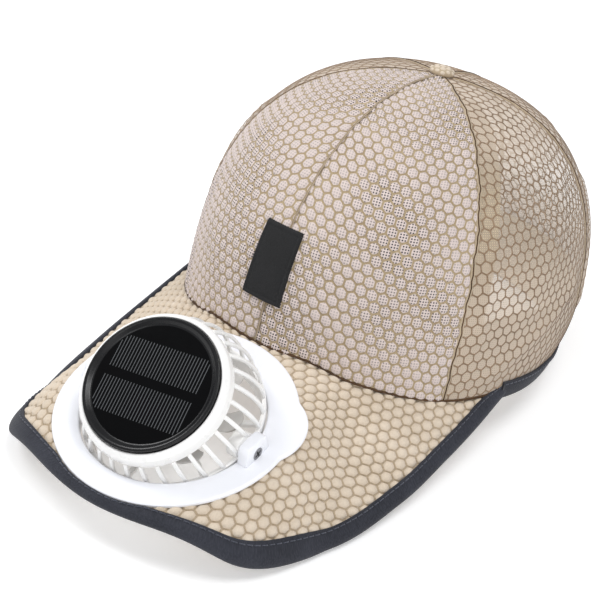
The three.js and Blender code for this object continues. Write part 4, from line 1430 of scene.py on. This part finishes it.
# %%
ball = opening - ball_clearance
cage_wall = 1.6
ring_top, ring_bottom = -1.0, -10.0
drum_bottom, drum_top, drum_radius = 16.5, 21.4, 26.9
rib_count, rib_width, rib_inset, rib_lap, rib_rows = 30, 1.6, 0.15, 0.8, 12
cage_sides = 144
ring_outer = [(math.sqrt(ball**2 - z**2), z) for z in np.linspace(ring_bottom, ring_top, 7)]
ring_inner = [(math.sqrt((ball - cage_wall) ** 2 - z**2), z) for z in np.linspace(ring_top, ring_bottom, 7)]
ring = lathe(rounded(ring_outer + ring_inner, 0.3, 2), cage_frame, sides=cage_sides)
foot = math.sqrt(ball**2 - drum_bottom**2)
lip_top, lip_inner = drum_top + 1.3, drum_radius - 0.7
drum_profile = [(0, drum_bottom), (foot - 1, drum_bottom), (foot - 1.4, drum_top - 0.9)]
drum_profile += [(drum_radius, lip_top), (lip_inner, lip_top), (lip_inner, drum_top), (0, drum_top)]
drum = lathe(rounded(drum_profile, 0.3, 3), drum_frame, sides=cage_sides)


def on_ball(height, angle):
    """Direction from the ball's centre to its skin at a height."""
    level = math.asin(height / ball)
    flat = math.cos(level)
    return np.array([flat * math.cos(angle), flat * math.sin(angle), math.sin(level)])


drum_turn = np.array(turn_x(drum_tilt))[:3, :3]
rib_depth = (cage_wall - 2 * rib_inset) / 2
rib_middle = ball - rib_inset - rib_depth
rib_section = rounded(rectangle(-rib_width / 2, -rib_depth, rib_width / 2, rib_depth), 0.45, 3)


def rib(angle):
    """One rib, from inside the ring to inside the drum along a great circle of the ball."""
    high = drum_turn @ on_ball(drum_bottom + rib_lap, angle)
    low = on_ball(ring_top - rib_lap, angle)
    axis = unit(np.cross(low, high))
    turns = np.linspace(0, math.acos(float(high @ low)), rib_rows)[:, None]
    directions = low * np.cos(turns) + np.cross(axis, low) * np.sin(turns)
    sides = np.tile(axis, (rib_rows, 1))
    return sweep(directions * rib_middle, sides, directions, rib_section, cage_frame)


ribs = [rib((k + 0.5) * 2 * math.pi / rib_count) for k in range(rib_count)]
motor_radius, motor_rim = 8.0, 1.5
guard_thickness, spoke_half, spoke_count = 2, 1.1, 6
seat_section = rectangle(0, ring_bottom, motor_radius + motor_rim, ring_bottom + guard_thickness)
motor_seat = lathe(rounded(seat_section, 0.4), cage_frame, sides=48)
guard_reach = math.sqrt((ball - cage_wall / 2) ** 2 - ring_bottom**2)
guard_half = guard_thickness / 2
spoke_section = rounded(rectangle(-spoke_half, -guard_half, spoke_half, guard_half), 0.4, 2)
upward = np.array([0, 0, 1.0])


def spoke(angle):
    along = np.array([math.cos(angle), math.sin(angle), 0])
    path = along * np.linspace(motor_radius, guard_reach, 4)[:, None]
    path = path + upward * (ring_bottom + guard_half)
    side = np.tile(np.cross(upward, along), (4, 1))
    return sweep(path, side, np.tile(upward, (4, 1)), spoke_section, cage_frame)


spokes = [spoke((k + 0.5) * 2 * math.pi / spoke_count) for k in range(spoke_count)]
boss_radius, boss_bore, boss_bevel = 5.2, 1.8, 0.8
boss_base = screw_tip - 1.5
boss_profile = [(boss_bore, boss_base), (boss_radius, boss_base), (boss_radius, ball - boss_bevel)]
boss_profile += [(boss_radius - 2 * boss_bevel, ball), (boss_bore, ball)]
bosses = []
for flip in (0, 180):
    bosses.append(lathe(rounded(boss_profile, 0.4), cage_frame @ turn_z(flip) @ turn_y(90), sides=48))
cage_shapes = [ring, drum, *ribs, motor_seat, *spokes, *bosses]
make("fan_cage_moulding", cage_shapes, [cage_plastic],
     body="cage", nodes=["fan_cage"], sharp=35)

# %% [markdown]
# ## Motor
#
# The motor is a drawn steel can in the middle of the guard, with its shaft standing up. It is seen
# only through the guard, so one turned profile does for both.

# %%
motor_base = ring_bottom + guard_thickness + 0.3
motor_top = motor_base + 7
shaft_radius, shaft_gap = 1, 0.3
shaft_top = motor_top + 5
motor_profile = [(0, motor_base), (motor_radius, motor_base), (motor_radius, motor_top)]
motor_profile += [(shaft_radius, motor_top), (shaft_radius, shaft_top), (0, shaft_top)]
motor = lathe(rounded(motor_profile, 0.3), cage_frame, sides=48)
make("fan_motor_can", [motor], [motor_steel], body="cage", nodes=["fan_motor"], sharp=35)

# %% [markdown]
# ## Blades
#
# The blades are one thin moulding whose seven vanes slope from edge to edge and sweep back towards
# the tip. A flat disc cut into sectors and twisted would give the same, but the slope has to ease
# off outward, which a formula says in one line.

# %%
hub_base = motor_top + shaft_gap
hub_radius, hub_height, hub_bevel = 9.5, 6.0, 1.2
hub_bore, bore_top, hub_top = shaft_radius + shaft_gap, shaft_top + shaft_gap, hub_base + hub_height
hub_profile = [(hub_bore, bore_top), (hub_bore, hub_base), (hub_radius, hub_base)]
hub_profile += [(hub_radius, hub_base + 5.2), (hub_radius - hub_bevel, hub_top)]
hub_profile += [(0, hub_top), (0, bore_top)]
hub = lathe(rounded(hub_profile, 0.5), cage_frame, sides=64)
blade_count, blade_rows, blade_columns = 7, 12, 14
blade_reach, blade_span, blade_rise, blade_thickness, sweep_angle = 28.0, 30.0, 6.0, 1.1, 12.0
blade_root, tip_rounding, slope_loss, edge_thinning = 0.8, 0.10, 0.35, 0.8


def blade(turn):
    """One vane, turned by degrees. u runs across it and v from the hub to the tip."""
    u, v = np.meshgrid(np.linspace(0, 1, blade_columns), np.linspace(0, 1, blade_rows))
    to_edge = 2 * np.abs(u - 0.5)
    corner = 1 - tip_rounding * np.maximum(0, v - 0.6) / 0.4 * to_edge**3
    radius = lerp(hub_radius - blade_root, blade_reach, v) * corner
    angle = np.radians(turn + (u - 0.5) * blade_span + sweep_angle * v)
    rise = (blade_rise - blade_thickness) * (1 - slope_loss * v)
    height = hub_base + hub_height / 2 + (0.5 - u) * rise
    half = blade_thickness * (1 - edge_thinning * to_edge**6) / 2
    x, y = radius * np.cos(angle), radius * np.sin(angle)
    points = [np.stack([x, y, height + side * half], -1).reshape(-1, 3) for side in (1, -1)]
    faces = two_faced(blade_rows, blade_columns)
    return {"points": placed(np.vstack(points), cage_frame), "faces": faces}


blades = [blade(k * 360 / blade_count) for k in range(blade_count)]
make("fan_blades_moulding", [hub, *blades], [blade_plastic],
     body="blades", nodes=["fan_blades"], sharp=50)

# %% [markdown]
# ## Solar disc
#
# A black rim holds the silicon cell under clear resin. Fine silver fingers cross each half of the
# cell at right angles to the plain strip between them. Printed fingers are about 0.1 mm wide, too
# fine to show here, so they are drawn 0.3 mm wide. A striped texture would shimmer at this scale,
# and thin faces just over the cell keep their edges.

# %%
disc_radius, disc_thickness, rim_width, bevel, recess = 25.9, 2.5, 1.2, 1.6, 1.3
disc_base = drum_top + 0.3
disc_top = disc_base + disc_thickness
floor_reach, floor_height = disc_radius - rim_width - bevel, disc_top - recess
disc_profile = [(0, disc_base), (disc_radius, disc_base), (disc_radius, disc_top)]
disc_profile += [(disc_radius - rim_width, disc_top), (floor_reach, floor_height), (0, floor_height)]
disc = lathe(rounded(disc_profile, 0.5), drum_frame, sides=cage_sides)
cell_section = rectangle(0, floor_height - 0.2, floor_reach - 0.4, floor_height + 0.05)
cell = lathe(cell_section, drum_frame, sides=cage_sides)
cell["numbers"] = [1] * len(cell["faces"])
finger_count, finger_width, finger_height = 30, 0.3, floor_height + 0.07
finger_limit, shortest_finger = floor_reach - 0.8, 1
first_finger, last_finger = -18.8, 17.8
cell_halves = ((1.7, 14.6), (-14.8, -1.9))
cell_frame = drum_frame @ shift(0, 0, finger_height) @ turn_z(8.5)
fingers = []
for low, high in cell_halves:
    for across in np.linspace(first_finger, last_finger, finger_count):
        limit = math.sqrt(max(finger_limit**2 - across**2, 0))
        start, end = max(low, -limit), min(high, limit)
        if end - start >= shortest_finger:
            corners = rectangle(across - finger_width / 2, start, across + finger_width / 2, end)
            points = placed([(x, y, 0) for x, y in corners], cell_frame)
            fingers.append({"points": points, "faces": [[0, 1, 2, 3]], "numbers": [2]})
disc_materials = [rim_plastic, cell_face, cell_finger]
make("solar_disc_cell", [disc, cell, *fingers], disc_materials,
     body="cage", nodes=["solar_disc"], sharp=35)
